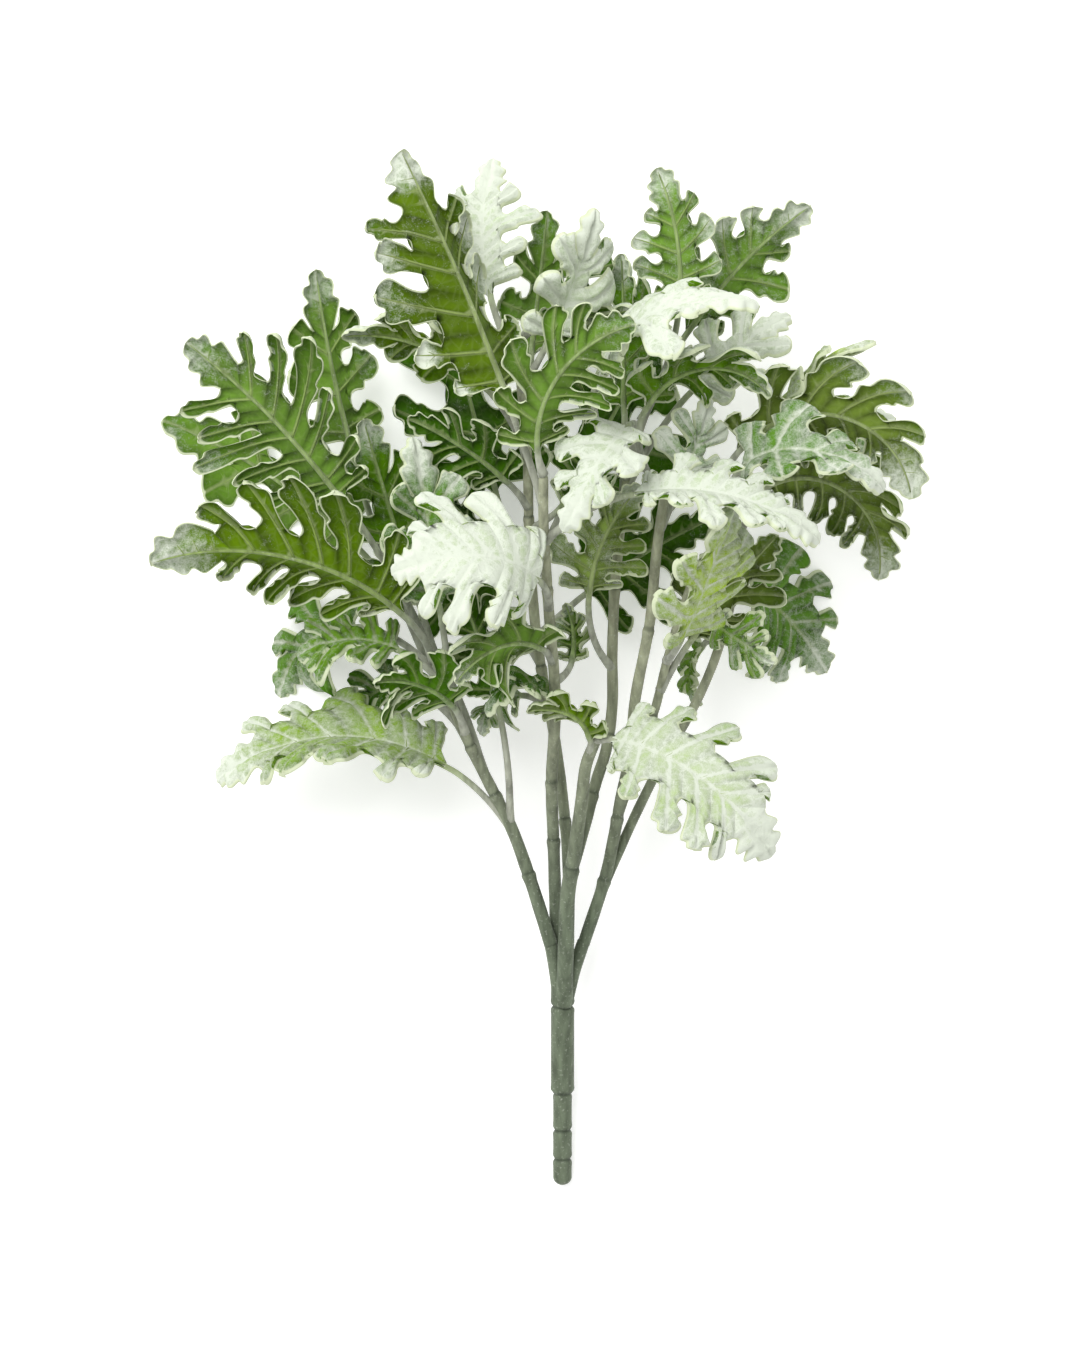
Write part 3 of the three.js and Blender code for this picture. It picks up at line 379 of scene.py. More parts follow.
leaves["back"] = [
    dict(at=0.96, mid=[-31, 366, 68], tip=[-27, 403, 55], face=60, start=0.35, pairs=4, web=0.15,
         look="whiteTop", frost=[0.95, 0.2, 0.2, 0.2]),
    dict(at=1.0, mid=[6.5, 341, 75.6], tip=[33, 335, 67.5], face=-20, start=0.34, width=0.85,
         look="greyFrost", frost=[0.55, 0.15, 0.5, 0.3]),
    dict(at=0.92, mid=[4, 353, 98], tip=[12, 380, 106], face=50,
         look="whiteTop", frost=[0.85, 0.2, 0.2, 0.2]),
    dict(at=0.88, mid=[-10, 345, 42], tip=[-6, 384, 34], start=0.35,
         look="green", frost=[0.4, 0.02, 0.3, 0.2]),
    dict(at=0.84, mid=[1, 341, 54], tip=[12, 377, 59], start=0.5, frost=[0.3, 0, 0.15, 0.1]),
    dict(at=0.8, mid=[-46, 326, 58], tip=[-86, 334, 50], face=-30, start=0.35, width=0.85,
         look="olive", frost=[0.4, 0.02, 0.2, 0.5]),
    dict(at=0.72, mid=[-30, 284, 70], tip=[-60, 301, 70], start=0.25, width=1.05,
         frost=[0.2, 0, 0.1, 0.1]),
    dict(at=0.66, mid=[-34, 260, 50], tip=[-51, 284, 46], face=-50, width=1.3, frost=[0.2, 0, 0.1, 0.1]),
    dict(at=0.68, mid=[4, 272, 60], tip=[16, 298, 62], width=1.2, frost=[0.2, 0, 0.1, 0.1]),
    dict(at=0.5, mid=[24, 245, 16], tip=[60, 264, -6], width=1.35),
    dict(at=0.46, mid=[-36, 235, 16], tip=[-74, 252, -6], width=1.35),
    dict(at=0.6, mid=[16, 298, 22], tip=[42, 340, -4], start=0.35, width=1.1),
    dict(at=0.56, mid=[-34, 300, 18], tip=[-46, 354, -4], start=0.35, width=1.1),
    dict(at=0.38, mid=[-18, 194, 32], tip=[-31, 178, 28], face=60, start=0.35, width=1.2,
         look="greyGreen", frost=[0.35, 0.05, 0.4, 0.3]),
]

leafShape = dict(
    thickness=0.8, skin=0.62,  # of the solid leaf, and of the cloth shown
    tableBend=5,  # height over the table within which a leaf eases off along it
    fold=(12, 8), droop=(0.7, 0.5),  # middle value and reach of each leaf's own draw
    wave=0.112, waveSpread=0.5, waves=9, waveShift=1.9,  # of the blade's two halves
    lastWing=0.75,  # of a leaf's `web`, beside its end lobe
    lastFoot=0.16,  # from the last lobe pair's foot to where another would stand
    fullness={6: 0.58, 5: 0.8, 4: 1.02, 3: 1.25},  # of the lobes: broader where they are fewer
    footSpread=0.015, angleSpread=3.5, reachSpread=0.14, unevenEdge=0.014,  # of each lobe's draws
    cup=1.2, roll=0.4, lift=0.16,  # rise of a lobe's sides, its largest slant and its end's rise
    quilting=2.0, panelPower=0.85,  # rise of the panels between the veins, fullest off the middle
    curl=0.05,  # drop of a lobe's rims
    ripple=0.02, ripples=9,  # of a lobe's rims
    toothed=0.8, toothFrom=11,  # share of the lobe sides that have teeth, and from which length on
    rowsPerMm=0.9, fewestRows=14, mostRows=32,  # of faces along a lobe
    rowBow=0.09,  # how far the rows lag at a lobe's vein
    bead=0.5, beadRun=0.8, rimReach=0.35,  # the edge: its thickening, how far in, its rounding
)
veinShape = dict(
    lobe=(0.5, 0.14), branch=(0.24, 0.2, 0.15, 0.08),  # radii from foot to end
    sink=0.14,  # of a vein's line below the cloth's middle
    branchesAt=(0.06, 0.28, 0.5),  # where they leave a lobe's vein, as shares of its free part
    branchClimb=2.6,  # rows that a branch climbs on its way to the edge
    rib=1.15, ribSwell=1.05, ribSink=0.7,  # its radius, and how much of it lies below the middle
    ribTaper=0.78, taperPower=0.8, ribEnd=0.975,
    stalk=1.55, footSwell=0.35, footRun=5, ringStep=1.6,
    sizes=(0.75, 300, 1.1),  # of the veins: the least, the length that adds 1 to it, and the most
)
# Tones of the cloth by place, among them the painted light and shade of its relief.
clothTonesAndShade = dict(
    body=0.74, panel=0.4,  # painted shade: brightness along the sunk veins, and the painted light that the puffed panels add
    ownTone=0.12,  # reach of each lobe's own brightness
    edge=0.2, creaseShade=0.3,  # painted shade just inside the edge, and between two lobes by their notch
    end=0.35, vein=0.55,  # share of lobeEndGreen at a lobe's end, and of the leaf's green in its veins
    frostOnVein=1.1, frostOffPanel=0.35,  # share of a leaf's frost by the veins, and what panels lack
    rimFrost=0.6, veinFrost=0.1,
)
# One side of a lobe, from notch to end at [1, 0]: along its vein and across it, as shares of the lobe.
lobeSides = {
    "base": [[0.14, 0.15], [0.36, 0.17], [0.6, 0.21], [0.7, 0.19], [0.84, 0.22], [0.96, 0.14]],
    "plain": [[0.1, 0.14], [0.32, 0.14], [0.58, 0.18], [0.8, 0.195], [0.95, 0.12]],
    "low": [[0.1, 0.14], [0.24, 0.14], [0.42, 0.21], [0.53, 0.16], [0.72, 0.205], [0.9, 0.17],
            [0.985, 0.08]],
    "high": [[0.1, 0.14], [0.3, 0.14], [0.52, 0.175], [0.7, 0.22], [0.8, 0.205], [0.86, 0.125],
             [0.965, 0.105]],
    "both": [[0.1, 0.14], [0.22, 0.14], [0.4, 0.2], [0.48, 0.155], [0.66, 0.22], [0.78, 0.205],
             [0.84, 0.12], [0.96, 0.11]],
}
# One side of the end lobe, across as a share of the blade's length.
endSides = [
    [[0.12, 0.09], [0.3, 0.125], [0.4, 0.12], [0.47, 0.085], [0.62, 0.11], [0.72, 0.1], [0.78, 0.06],
     [0.92, 0.055]],
    [[0.12, 0.09], [0.34, 0.115], [0.46, 0.12], [0.54, 0.08], [0.7, 0.1], [0.8, 0.09], [0.85, 0.05],
     [0.95, 0.04]],
]
# Lobe pairs: place of the vein's foot on the rib, angle to the rib and length, as shares of the blade.
lobePairs = {
    6: [[0.05, 82, 0.2], [0.13, 74, 0.31], [0.24, 66, 0.39], [0.36, 60, 0.42], [0.48, 55, 0.38],
        [0.61, 50, 0.29]],
    5: [[0.06, 80, 0.21], [0.17, 70, 0.33], [0.32, 61, 0.39], [0.48, 53, 0.36], [0.62, 50, 0.28]],
    4: [[0.07, 78, 0.24], [0.2, 67, 0.38], [0.39, 57, 0.4], [0.57, 48, 0.31]],
    3: [[0.08, 76, 0.27], [0.28, 62, 0.42], [0.52, 49, 0.35]],
}
# The green of the cloth on its upper side and on its underside.
looks = {
    "blueGreen": ["#5f7d44", "#5f7b3c"],
    "olive": ["#7f962c", "#567310"],
    "duskOlive": ["#7f962c", "#4f6424"],
    "paleOlive": ["#8fa648", "#809454"],
    "oliveFrost": ["#76903c", "#63753a"],
    "green": ["#628436", "#688642"],
    "brightGreen": ["#5f8a24", "#4d7a18"],
    # the leaves deep inside the spray: partly their own deep green, partly painted shade
    "deepGreen": ["#386008", "#365c08"],
    "greyGreen": ["#587a38", "#527624"],
    "greyFrost": ["#6c8a52", "#5a7c34"],
    "paleTop": ["#a0b280", "#5c7f22"],
    "paleGreen": ["#7f994a", "#5c7f22"],
    "whiteTop": ["#98aa7e", "#587c26"],
}
lobeEndGreen = colourOf("#3c6612")  # what the cloth turns to at the lobes' ends
veinColour = colourOf("#a0ac7a")
stalkColour = colourOf("#9c9f90")
columns = np.array([-1, -0.86, -0.62, -0.3, 0, 0.3, 0.62, 0.86, 1])  # across a lobe
middleColumn = 4
webRows = 4  # rows of faces between the rib and the notches


def leafRun(root, mid, tip, face):
    # the arc from the root through `mid` to the tip, as a function from a share of its length to a
    # place and the directions along it, up from the upper side, and to the side. Also that length
    a, b = mid - root, tip - root
    axis = np.cross(a, b)
    centre = root + (np.cross(axis, a) * (b @ b) + np.cross(b, axis) * (a @ a)) / (2 * (axis @ axis))
    axis = unit(axis)
    first, last = root - centre, tip - centre
    sweep = math.atan2(np.cross(first, last) @ axis, first @ last) % (2 * math.pi)
    quarter = np.cross(axis, first)
    bow = -1 if axis[2] < 0 else 1
    lean = math.radians(face)

    def at(t):
        turn = sweep * np.asarray(t, dtype=float)[..., None]
        out = first * np.cos(turn) + quarter * np.sin(turn)
        along = unit(np.cross(axis, out))
        over = unit(zUp - along * along[..., 2:])
        up = np.cross(along, over) * (bow * math.cos(lean)) + over * math.sin(lean)
        return centre + out, along, up, np.cross(along, up)

    return at, np.linalg.norm(first) * sweep


def planLobes(seed, pairs, width):
    halves, shape = [], leafShape
    for h, hand in enumerate((1, -1)):
        lobes = []
        for k, (foot, angle, reach) in enumerate(lobePairs[pairs]):
            n = 10 * k + 50 * h
            lobes.append(dict(
                hand=hand, free=True, foot=foot + spread(seed, n + 1, shape["footSpread"]),
                angle=math.radians(angle + spread(seed, n + 2, shape["angleSpread"])),
                reach=reach * width * (1 + spread(seed, n + 3, shape["reachSpread"])),
                roll=spread(seed, n + 4, shape["roll"]), lift=spread(seed, n + 5, shape["lift"]),
                frost=max(0.0, spread(seed, n + 6, 1.0)), draw=seed * 7 + n,
            ))
        halves.append(lobes)
    return halves


def bladeSurface(run, leaf, length):
    # the middle of the cloth and its normal over a flat place: x along the rib, y to the side
    seed, start, shape = leaf["seed"], leaf["start"], leafShape
    fold = math.radians(leaf.get("fold", shape["fold"][0] + spread(seed, 90, shape["fold"][1])))
    droop = shape["droop"][0] + spread(seed, 91, shape["droop"][1])
    wave = shape["wave"] * (1 + spread(seed, 92, shape["waveSpread"]))
    phase = 2 * math.pi * drawFrom(seed, 93)
    bend, half = shape["tableBend"], shape["thickness"] / 2

    def middle(x, y, lobe, free, puff):
        place, _, up, side = run(start + (1 - start) * x / length)
        off = np.abs(y)
        rise = off * math.sin(fold) - droop * off * off / length + puff
        shift = phase + np.where(y > 0, shape["waveShift"], 0)
        rise = rise + wave * off * np.sin(shape["waves"] * x / length + shift)
        if lobe:
            size = lobe["reach"] * length
            u, v = (x - lobe["foot"] * length) / size, off / size
            p = u * math.cos(lobe["angle"]) + v * math.sin(lobe["angle"])
            q = u * math.sin(lobe["angle"]) - v * math.cos(lobe["angle"])
            bent = lobe["roll"] * q + lobe["lift"] * p * p + shape["cup"] * q * q
            rise = rise + free * smooth(0.2, 0.7, p) * size * bent
        point = place + side * (y * math.cos(fold))[..., None] + up * rise[..., None]
        above = point[..., 2] - half
        eased = np.where(above < -bend, half, half + (above + bend) ** 2 / (4 * bend))
        point[..., 2] = np.where(above < bend, eased, point[..., 2])
        return point

    def surface(x, y, lobe=None, free=0.0, puff=0.0):
        rest, h = (lobe, free, puff), 0.4  # h: half the span over which the slopes are taken
        dx = middle(x + h, y, *rest) - middle(x - h, y, *rest)
        dy = middle(x, y + h, *rest) - middle(x, y - h, *rest)
        return middle(x, y, *rest), unit(np.cross(dy, dx))

    return surface


def edgeCurve(side, notch, seed, swell):
    # one side of a lobe as a smooth line from its notch to its end, and a function of the share passed
    points = [np.array(notch)]
    for k, (free, across) in enumerate([*side, (1, 0)]):
        shift = leafShape["unevenEdge"] if 0 < k < len(side) else 0
        along = notch[0] + (1 - notch[0]) * (free + spread(seed, 20 + k, shift))
        points.append(np.array([along, across * swell * (1 + spread(seed, 30 + k, 4 * shift))]))
    first = np.array([points[1][0], 2 * notch[1] - points[1][1]])
    points = np.array([first, *points, points[-2] * (1, -1)])

    def at(u):
        place = np.clip(u, 0, 1) * (len(points) - 3)
        k = np.minimum(place.astype(int), len(points) - 4)
        t = (place - k)[:, None]
        p0, p1, p2, p3 = (points[k + i] for i in range(4))
        bend = (2 * p0 - 5 * p1 + 4 * p2 - p3) * t**2 + (3 * p1 - p0 - 3 * p2 + p3) * t**3
        return (p1 + 0.5 * ((p2 - p0) * t + bend)).T

    return at


def lobeGrid(lobe, length, webLeft, webRight, sides, swell):
    # flat places of a lobe's rows and columns, from the rib to its end, and the share of its free
    # part that each row has passed, which is negative between the rib and the notches
    size, foot, hand = lobe["reach"] * length, lobe["foot"] * length, lobe["hand"]
    cos, sin = math.cos(lobe["angle"]), math.sin(lobe["angle"])

    def own(point):
        dx, dy = point[0] - foot, hand * point[1]
        return (dx * cos + dy * sin) / size, (dx * sin - dy * cos) / size

    def place(p, q):
        return np.stack([foot + size * (p * cos + q * sin), hand * size * (p * sin - q * cos)], axis=-1)

    shape = leafShape
    count = int(np.clip(size * shape["rowsPerMm"], shape["fewestRows"], shape["mostRows"]))
    u = np.linspace(0, 1, count + 1)
    (startLeft, offLeft), (startRight, offRight) = own(webLeft[-1]), own(webRight[-1])
    left = edgeCurve(sides[0], (startLeft, -offLeft), lobe["draw"], swell)(u)
    right = edgeCurve(sides[1], (startRight, offRight), lobe["draw"] + 3, swell)(u)
    level = (left[0] + right[0]) / 2 - shape["rowBow"] * smooth(0, 0.25, u) * (1 - smooth(0.72, 1, u))
    vein = place(level, 0 * level)
    base = np.array([foot, 0.0])
    veinWeb = base + (vein[0] - base) * np.linspace(0, 1, webRows + 1)[:-1, None]
    vein = np.concatenate([veinWeb, vein])[:, None]
    before = np.concatenate([webLeft[:-1], place(left[0], -left[1])])[:, None]
    after = np.concatenate([webRight[:-1], place(*right)])[:, None]
    t = columns[None, :, None]
    grid = np.where(t < 0, vein - (before - vein) * t, vein + (after - vein) * t)
    grid[: webRows + 1, 0], grid[: webRows + 1, -1] = webLeft, webRight
    return grid, np.concatenate([np.linspace(-1, 0, webRows + 1)[:-1], u])


def lobeRise(lobe, size, x, length, t, u, web):
    # the height of a lobe over the leaf's own curve: quilted between the veins, its rims curled down
    # and rippled. Also how full its panels are, and how far it stands free
    shape = leafShape
    free = smooth(0, 0.3, u)
    panel = np.broadcast_to(np.sin(math.pi * t ** shape["panelPower"]), x.shape)
    ending = (1 - smooth(0.8, 1, u)) * smooth(0, 0.08, x / length)
    puff = shape["quilting"] * panel * smooth(0, 1, web) * ending
    puff = puff - shape["curl"] * size * smooth(0.4, 1, t) ** 2 * free
    turns = shape["ripples"] * u + lobe["draw"] + np.sign(columns)[None, :]
    return puff + shape["ripple"] * size * t**2 * free * np.sin(turns), panel, free


def lobeDistances(lobe, grid, size, t, u):
    # from each point to the edge and to the nearest vein
    rim = np.where(columns[None, :, None] < 0, grid[:, :1], grid[:, -1:])
    span = np.linalg.norm(rim - grid[:, middleColumn, None], axis=-1)
    edge = np.minimum((1 - t) * span, np.linalg.norm(grid[-1:] - grid, axis=-1))
    web = grid[:webRows]
    edge[:webRows] = np.minimum(*(np.linalg.norm(web - grid[webRows, j], axis=-1) for j in (0, -1)))
    vein = np.minimum(t * span, np.abs(grid[..., 1]) if lobe["free"] else np.inf)
    climb = veinShape["branchClimb"] * t / (len(grid) - 1 - webRows)
    for share in veinShape["branchesAt"]:  # these count less, the more so the further out
        vein = np.minimum(vein, 0.3 + 0.8 * t + 0.8 * size * np.abs(u - share - climb))
    return edge, vein


def lobeShadedGreens(lobe, felt, panel, edge, t, u, web):
    # the greens of both faces, with painted light and shade: painted light on the panels, painted shade
    # along the veins, just inside the edge and between two lobes, and turning to another green towards
    # the lobe's end
    shade = clothTonesAndShade
    # each lobe's own random brightness, times painted shade along the veins and painted light on the
    # panels
    toneAndShade = (1 + spread(lobe["draw"], 5, shade["ownTone"])) * (shade["body"] + shade["panel"] * panel)
    # painted shade just inside the edge
    toneAndShade = toneAndShade * (1 - shade["edge"] * bell(edge - 1, 1))
    # painted shade between two lobes, by their notch
    toneAndShade = toneAndShade * (1 - shade["creaseShade"] * t**4 * (1 - smooth(0, 0.15, u)) * smooth(0.1, 0.5, web))
    toEnd = np.broadcast_to(shade["end"] * smooth(0.1, 1, u), toneAndShade.shape)
    return [blend(felt[face], lobeEndGreen, toEnd) * toneAndShade[..., None] for face in ("upper", "under")]


def layLobe(build, surface, lobe, grid, passed, length, felt):
    # one lobe: its two faces, its rim and its raised veins
    rows, cols = grid.shape[:2]
    size, x = lobe["reach"] * length, grid[..., 0]
    t = np.abs(columns)[None, :]
    u, web = np.clip(passed, 0, 1)[:, None], np.clip(passed + 1, 0, 1)[:, None]
    puff, panel, free = lobeRise(lobe, size, x, length, t, u, web)
    middle, normal = surface(x, grid[..., 1], lobe if lobe["free"] else None, free, puff)
    edge, vein = lobeDistances(lobe, grid, size, t, u)
    half = leafShape["skin"] / 2 * (1 + leafShape["bead"] * np.exp(-edge / leafShape["beadRun"]))
    top, low = middle + normal * half[..., None], middle - normal * half[..., None]

    upperFrost, underFrost, endFrost, tipFrost = felt["frost"]
    shade, away = clothTonesAndShade, np.clip(x / length, 0, 1)
    ends = lobe["frost"] * endFrost * smooth(0.15, 0.75, u) + tipFrost * smooth(0.62, 0.95, away)
    topFrost = upperFrost * (shade["frostOnVein"] - shade["frostOffPanel"] * panel) + ends
    lowFrost = underFrost + ends - 0.1 * np.exp(-vein / 2)
    # the greens with the painted light and shade of the lobe's relief
    topShadedGreen, lowShadedGreen = lobeShadedGreens(lobe, felt, panel, edge, t, u, web)

    index = np.arange(rows * cols).reshape(rows, cols)
    a, b, c, d = index[:-1, :-1], index[1:, :-1], index[1:, 1:], index[:-1, 1:]
    quads = np.stack([a, b, c, d] if lobe["hand"] > 0 else [a, d, c, b], axis=-1).reshape(-1, 4)
    both = (top, quads, topFrost, topShadedGreen), (low, quads[:, ::-1], lowFrost, lowShadedGreen)
    for face, quad, frost, green in both:
        points, colour = face.reshape(-1, 3), green.reshape(-1, 3)
        build.add(points, quad.tolist(), clothSlot, colour, frost.ravel(), edge.ravel(), vein.ravel())
    layRim(build, middle, normal, top, low, lobe["hand"], felt["under"])
    layVeins(build, middle, normal, felt)


def layRim(build, middle, normal, top, low, hand, colour):
    # a rounded strip along a lobe's edge, from notch to notch, which closes the two faces
    rows, cols = middle.shape[:2]
    freeRows, inside = range(webRows, rows), range(1, cols - 1)

    def chain(inset):
        up = [(i, inset) for i in freeRows] + [(rows - 1 - inset, j) for j in inside]
        return np.array(up + [(i, cols - 1 - inset) for i in reversed(freeRows)]).T

    i, j = chain(0)
    outward = middle[i, j] - middle[tuple(chain(1))]
    outward = unit(outward - normal[i, j] * (outward * normal[i, j]).sum(-1, keepdims=True) + 1e-9)
    outward[0] = outward[-1] = 0
    rim = middle[i, j] + outward * leafShape["rimReach"]
    n = len(i)
    faces = []
    for k in range(n - 1):
        for row in (k, k + n):
            face = (row, row + 1, row + 1 + n, row + n)
            faces.append(face if hand > 0 else face[::-1])
    strip = np.concatenate([top[i, j], rim, low[i, j]])
    build.add(strip, faces, clothSlot, colour, clothTonesAndShade["rimFrost"], 0.0)


def layVeins(build, middle, normal, felt):
    # a lobe's vein and the branches beside it, sunk a little into the cloth
    def lay(i, j, radii, sides):
        line = middle[i, j] - normal[i, j] * veinShape["sink"]
        points, faces = tube(line, radii * felt["veinSize"], normal[i, j], sides)
        build.add(points, faces, clothSlot, felt["vein"], clothTonesAndShade["veinFrost"])

    rows, branch = len(middle) - 1, np.array(veinShape["branch"])
    radii = np.interp(np.arange(rows), [0, rows - 1], veinShape["lobe"])
    lay(slice(rows), middleColumn, radii, tubeSides["vein"])
    steps = np.arange(len(branch))
    for share in veinShape["branchesAt"]:
        i = webRows + round(share * (rows - webRows)) + steps
        for hand in (1, -1):
            lay(i, middleColumn + hand * steps, branch, tubeSides["branchVein"])


def pickSide(seed, j, size):
    share, least = drawFrom(seed, 40 + j) / leafShape["toothed"], leafShape["toothFrom"]
    kinds = ("low", "high", "both") if size > 2 * least else ("low", "high")
    return "plain" if share >= 1 or size < least else kinds[int(share * len(kinds))]


def planWebs(halves, ribs, wing):
    # the lines from the rib to each notch, which the lobes on both sides of it share
    share = np.linspace(0, 1, webRows + 1)[:, None]
    feet = [np.array([x, 0.0]) for x in ribs]
    webs = []
    for lobes in halves:
        hand = lobes[0]["hand"]
        notches = [np.array([0.0, hand * veinShape["rib"]])]
        for lobe, x in zip(lobes, ribs[1:]):
            off = wing * (leafShape["lastWing"] if lobe is lobes[-1] else 1)
            notches.append(np.array([x + off / math.tan(lobe["angle"]), hand * off]))
        webs.append([foot + (notch - foot) * share for foot, notch in zip(feet, notches)])
    return webs


def growStalk(build, surface, run, start, whole, vein):
    # the stalk, which runs on as the leaf's rib
    form = veinShape
    t = np.linspace(0, form["ribEnd"], int(whole / form["ringStep"]))
    place, _, up, _ = run(t)
    onBlade = np.clip((t - start) / (1 - start), 0, 1)
    stalk, rib = form["stalk"], form["rib"] * form["ribSwell"]
    taper = 1 - form["ribTaper"] * onBlade ** form["taperPower"]
    radii = np.where(t < start, stalk + (rib - stalk) * t / start, rib * taper)
    radii = radii * (1 + form["footSwell"] * bell(t * whole, form["footRun"]))
    blade, normal = surface(onBlade * (whole * (1 - start)), 0 * onBlade)
    on = smooth(-0.04, 0.04, t - start)[:, None]
    line = place * (1 - on) + (blade - normal * (form["ribSink"] * radii)[:, None]) * on
    points, faces = tube(line, radii, up, tubeSides["stalk"])
    colour = blend(stalkColour, vein, smooth(0.6 * start, start + 0.1, t))
    build.add(points, faces, stalkSlot, np.repeat(colour, tubeSides["stalk"], axis=0))


def growLeaf(leaf, at):
    build = PieceMesh()
    seed, start, pairs, width = (leaf[key] for key in ("seed", "start", "pairs", "width"))
    root = at(leaf["at"])
    run, whole = leafRun(root, np.array(leaf["mid"], float), np.array(leaf["tip"], float), leaf["face"])
    length = whole * (1 - start)
    surface = bladeSurface(run, leaf, length)
    upper, under = (colourOf(code) for code in looks[leaf["look"]])
    least, perLength, most = veinShape["sizes"]
    felt = dict(
        upper=upper, under=under, frost=leaf["frost"],
        vein=blend(veinColour, upper if leaf["face"] > 0 else under, clothTonesAndShade["vein"]),
        veinSize=min(most, least + length / perLength),
    )

    halves = planLobes(seed, pairs, width)
    feet = [foot for foot, _, _ in lobePairs[pairs]]
    nextFeet = [*feet[1:], feet[-1] + leafShape["lastFoot"]]
    ribs = [0.0] + [(a + b) / 2 * length for a, b in zip(feet, nextFeet)]
    wing = leaf["web"] * width * length
    webs = planWebs(halves, ribs, wing)
    swell = leafShape["fullness"][pairs] / width
    for lobes, lines in zip(halves, webs):
        for k, lobe in enumerate(lobes):
            free = lobe["reach"] * length - wing / math.sin(lobe["angle"])
            sides = [lobeSides[pickSide(lobe["draw"], j, free) if k else "base"] for j in range(2)]
            grid, passed = lobeGrid(lobe, length, lines[k], lines[k + 1], sides, swell)
            layLobe(build, surface, lobe, grid, passed, length, felt)
    reach = 1 - ribs[-1] / length
    endLobe = dict(hand=1, free=False, angle=0.0, reach=reach, frost=0.5, draw=seed * 7 + 99)
    endLobe["foot"] = ribs[-1] / length
    grid, passed = lobeGrid(endLobe, length, webs[0][-1], webs[1][-1], endSides, 1 / reach)
    layLobe(build, surface, endLobe, grid, passed, length, felt)
    growStalk(build, surface, run, start, whole, felt["vein"])
    return build


def newMaterial(name, roughness, sheen):
    material = bpy.data.materials.new(name)
    material.use_nodes = True
    shader = material.node_tree.nodes["Principled BSDF"]
    usual = {"Sheen Roughness": 0.5, "Specular IOR Level": 0.12}
    for socket, value in {"Roughness": roughness, "Sheen Weight": sheen, **usual}.items():
        shader.inputs[socket].default_value = value
    return material, material.node_tree, shader


def newNode(tree, kind, output, inputs, **settings):
    # an output of a new node, whose inputs are numbers, colours or outputs of other nodes
    node = tree.nodes.new("ShaderNode" + kind)
    for name, value in settings.items():
        setattr(node, name, value)
    for socket, value in inputs.items():
        if isinstance(value, bpy.types.NodeSocket):
            tree.links.new(value, node.inputs[socket])
        else:
            node.inputs[socket].default_value = (*value, 1) if isinstance(value, np.ndarray) else value
    return node.outputs[output]


def fact(tree, name, kind="Fac"):
    return newNode(tree, "Attribute", kind, {}, attribute_name=name)


def noise(tree, scale, detail, stretch=None):
    where = newNode(tree, "TexCoord", "Object", {})
    if stretch:
        where = newNode(tree, "Mapping", "Vector", {"Vector": where, "Scale": stretch})
    return newNode(tree, "TexNoise", "Fac", {"Vector": where, "Scale": scale, "Detail": detail})


def remap(tree, value, low, high, toLow, toHigh):
    inputs = {"Value": value, "From Min": low, "From Max": high, "To Min": toLow, "To Max": toHigh}
    return newNode(tree, "MapRange", "Result", inputs)


def fromNoise(tree, value, toLow, toHigh):
    # a noise's usual reach, brought to another one
    return remap(tree, value, 0.3, 0.7, toLow, toHigh)


def sums(tree, operation, a, b):
    return newNode(tree, "Math", "Value", {0: a, 1: b}, operation=operation, use_clamp=operation == "ADD")


def times(tree, a, b):
    return sums(tree, "MULTIPLY", a, b)


def mixed(tree, share, a, b, kind="MIX"):
    inputs = {"Factor": share, "A": a, "B": b}
    return newNode(tree, "Mix", "Result", inputs, data_type="RGBA", blend_type=kind)


def dress(tree, shader, colour, height, strength, distance):
    # gives the shader its colour and its bumps
    bumps = {"Height": height, "Strength": strength, "Distance": distance}
    tree.links.new(colour, shader.inputs["Base Color"])
    tree.links.new(newNode(tree, "Bump", "Normal", bumps), shader.inputs["Normal"])


feltLook = dict(
    surface=(0.92, 0.03),  # roughness and sheen
    frost=colourOf("#d1d7c9"), vein=veinColour,
    rim=colourOf("#cbd3b2"), rimReach=(0.31, 0.62), rimCover=0.85,
    depth=1.14,  # saturation of the greens
    patches=70, mottle=420, grain=2400, net=230, netLine=(0.02, 0.14),  # scales, and a line's reach
    patchTones=(0.75, 1.2), mottleTones=(0.35, 1), mottleShare=0.25,
    veinReach=(0.25, 1.1), veinShare=0.5, netShare=0.06,
    bare=(0.3, 0.34, 0.36),  # how much the patches, the mottle and the grain keep the felt off
    netClinging=0.22,  # of the felt to the net, against the veins
    coverReach=(-0.3, 0.5), mostCover=0.96,
    nap=0.5, napDepth=0.0006, napParts=(0.6, 0.4, 0.25),  # mottle, grain and net in it
)


def netVeins(tree):
    inputs = {"Vector": newNode(tree, "TexCoord", "Object", {}), "Scale": feltLook["net"]}
    away = newNode(tree, "TexVoronoi", "Distance", inputs, feature="DISTANCE_TO_EDGE")
    return remap(tree, away, *feltLook["netLine"], 1, 0)


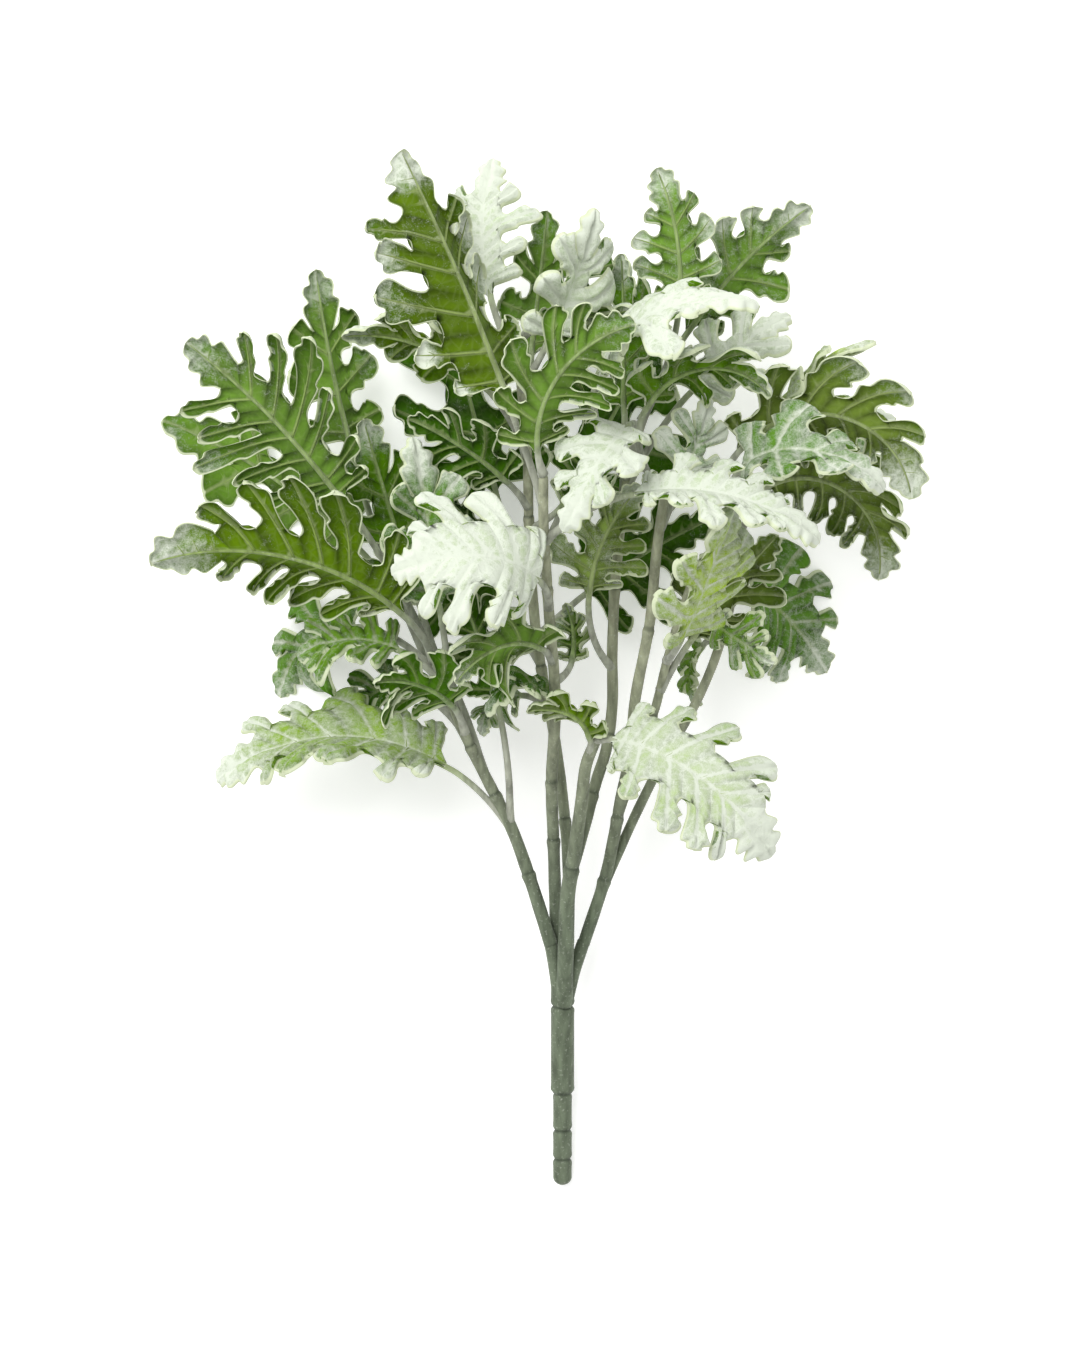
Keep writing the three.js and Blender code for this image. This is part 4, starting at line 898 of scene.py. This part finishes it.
def feltMaterial():
    look = feltLook
    material, tree, shader = newMaterial("feltedCloth", *look["surface"])
    patches, mottle = noise(tree, look["patches"], 2), noise(tree, look["mottle"], 4)
    grain, net = noise(tree, look["grain"], 2), netVeins(tree)
    # the leaf greens read here carry the painted light and shade of the lobes' relief
    tint = {"Color": fact(tree, "bodyColourAndShade", "Color"), "Saturation": look["depth"]}
    tint["Value"] = fromNoise(tree, patches, *look["patchTones"])
    body = newNode(tree, "HueSaturation", "Color", tint)
    veins = remap(tree, fact(tree, "veinDistance"), *look["veinReach"], look["veinShare"], 0)
    body = mixed(tree, veins, body, look["vein"])
    body = mixed(tree, times(tree, net, look["netShare"]), body, look["vein"])
    mottled = fromNoise(tree, mottle, *look["mottleTones"])
    body = mixed(tree, look["mottleShare"], body, mottled, "MULTIPLY")

    # the felt: thinner in uneven places, thicker on the veins and the net
    bare = 0
    for part, share in zip((patches, mottle, grain), look["bare"]):
        bare = sums(tree, "ADD", bare, fromNoise(tree, part, 0, share))
    clinging = sums(tree, "ADD", veins, times(tree, net, look["netClinging"]))
    clinging = remap(tree, clinging, 0, 1, 1, 2)
    frost = sums(tree, "SUBTRACT", times(tree, fact(tree, "frost"), clinging), bare)
    cover = remap(tree, frost, *look["coverReach"], 0, look["mostCover"])
    colour = mixed(tree, cover, body, look["frost"])
    rim = remap(tree, fact(tree, "edgeDistance"), *look["rimReach"], look["rimCover"], 0)
    colour = mixed(tree, rim, colour, look["rim"])
    mottlePart, grainPart, netPart = look["napParts"]
    rough = sums(tree, "ADD", times(tree, mottle, mottlePart), times(tree, grain, grainPart))
    height = sums(tree, "ADD", rough, times(tree, net, netPart))
    dress(tree, shader, colour, height, look["nap"], look["napDepth"])
    return material


def stemMaterial(name, surface):
    look = stemLook
    material, tree, shader = newMaterial(name, *surface)
    streaks = noise(tree, look["streaks"], 4, look["streakStretch"])
    specks = noise(tree, look["specks"], 2)
    streaked = fromNoise(tree, streaks, *look["streakTones"])
    body = mixed(tree, look["streakShare"], fact(tree, "bodyColourAndShade", "Color"), streaked, "MULTIPLY")
    pale = remap(tree, specks, *look["speckReach"], 0, look["speckShare"])
    height = sums(tree, "ADD", streaks, times(tree, specks, look["speckHeight"]))
    dress(tree, shader, mixed(tree, pale, body, look["speck"]), height, look["bumps"], look["depth"])
    return material


clothMaterial = feltMaterial()
mouldedStem = stemMaterial("mouldedStem", stemLook["surface"])
leafStalk = stemMaterial("leafStalk", stemLook["stalkSurface"])

for piece in dict.fromkeys(limb["piece"] for limb in limbs.values()):
    build = PieceMesh()
    for name, limb in limbs.items():
        if limb["piece"] == piece:
            growLimb(build, name)
    if piece == "handle":
        growHandle(build)
    stem = build.make(piece + "Fine", [mouldedStem])
    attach(stem, "root")
    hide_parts(piece)
print("stems made")

seed = 0
for limb, row in leaves.items():
    for number, leaf in enumerate(row, 1):
        seed += "seed" not in leaf
        build = growLeaf({"seed": seed, **usualLeaf, **leaf}, curves[limb][0])
        blade = build.make(f"leaf{limb[0].upper()}{limb[1:]}{number}", [clothMaterial, leafStalk])
        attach(blade, "root")
        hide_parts(f"leaf_{limb}_{number:02d}")
print("leaves made:", sum(len(row) for row in leaves.values()))

studio = dict(
    floor=(0.95, 0.95, 0.945), floorGlow=0.32, floorReach=6, world=0.84,
    key=38.0, keyPlace=(-0.7, 1.0, 1.9), keySize=1.6,
    cameraHeight=2.67, cameraMiddle=(0.0003, 0.0006), lens=179.2, seesAsFar=20,
)


def makeFloor():
    mesh = bpy.data.meshes.new("studioFloor")
    far = studio["floorReach"]
    corners = [(-far, -far, 0), (far, -far, 0), (far, far, 0), (-far, far, 0)]
    mesh.from_pydata(corners, [], [(0, 1, 2, 3)])
    floor = newObject("studioFloor", mesh)
    material, _, shader = newMaterial("palePaper", 0.95, 0.0)
    shader.inputs["Base Color"].default_value = (*studio["floor"], 1)
    shader.inputs["Emission Color"].default_value = (1, 1, 1, 1)
    shader.inputs["Emission Strength"].default_value = studio["floorGlow"]
    mesh.materials.append(material)


def makeLight():
    light = bpy.data.lights.new("keyLight", "AREA")
    light.energy, light.size, light.shape = studio["key"], studio["keySize"], "DISK"
    lamp = newObject("keyLight", light)
    lamp.location = studio["keyPlace"]
    x, y, z = studio["keyPlace"]
    lamp.rotation_euler = (math.atan2(math.hypot(x, y), z), 0, math.atan2(x, -y))  # to the spray


makeFloor()
makeLight()
world = bpy.data.worlds.new("studioWorld")
world.use_nodes = True
background = world.node_tree.nodes["Background"].inputs
background["Color"].default_value = (1, 1, 1, 1)
background["Strength"].default_value = studio["world"]
bpy.context.scene.world = world
bpy.context.scene.view_settings.view_transform = "Standard"

camera = newObject("camera", bpy.data.cameras.new("camera"))
camera.data.lens = studio["lens"]
camera.data.clip_end = studio["seesAsFar"]
camera.location = (*studio["cameraMiddle"], studio["cameraHeight"])
bpy.context.scene.camera = camera
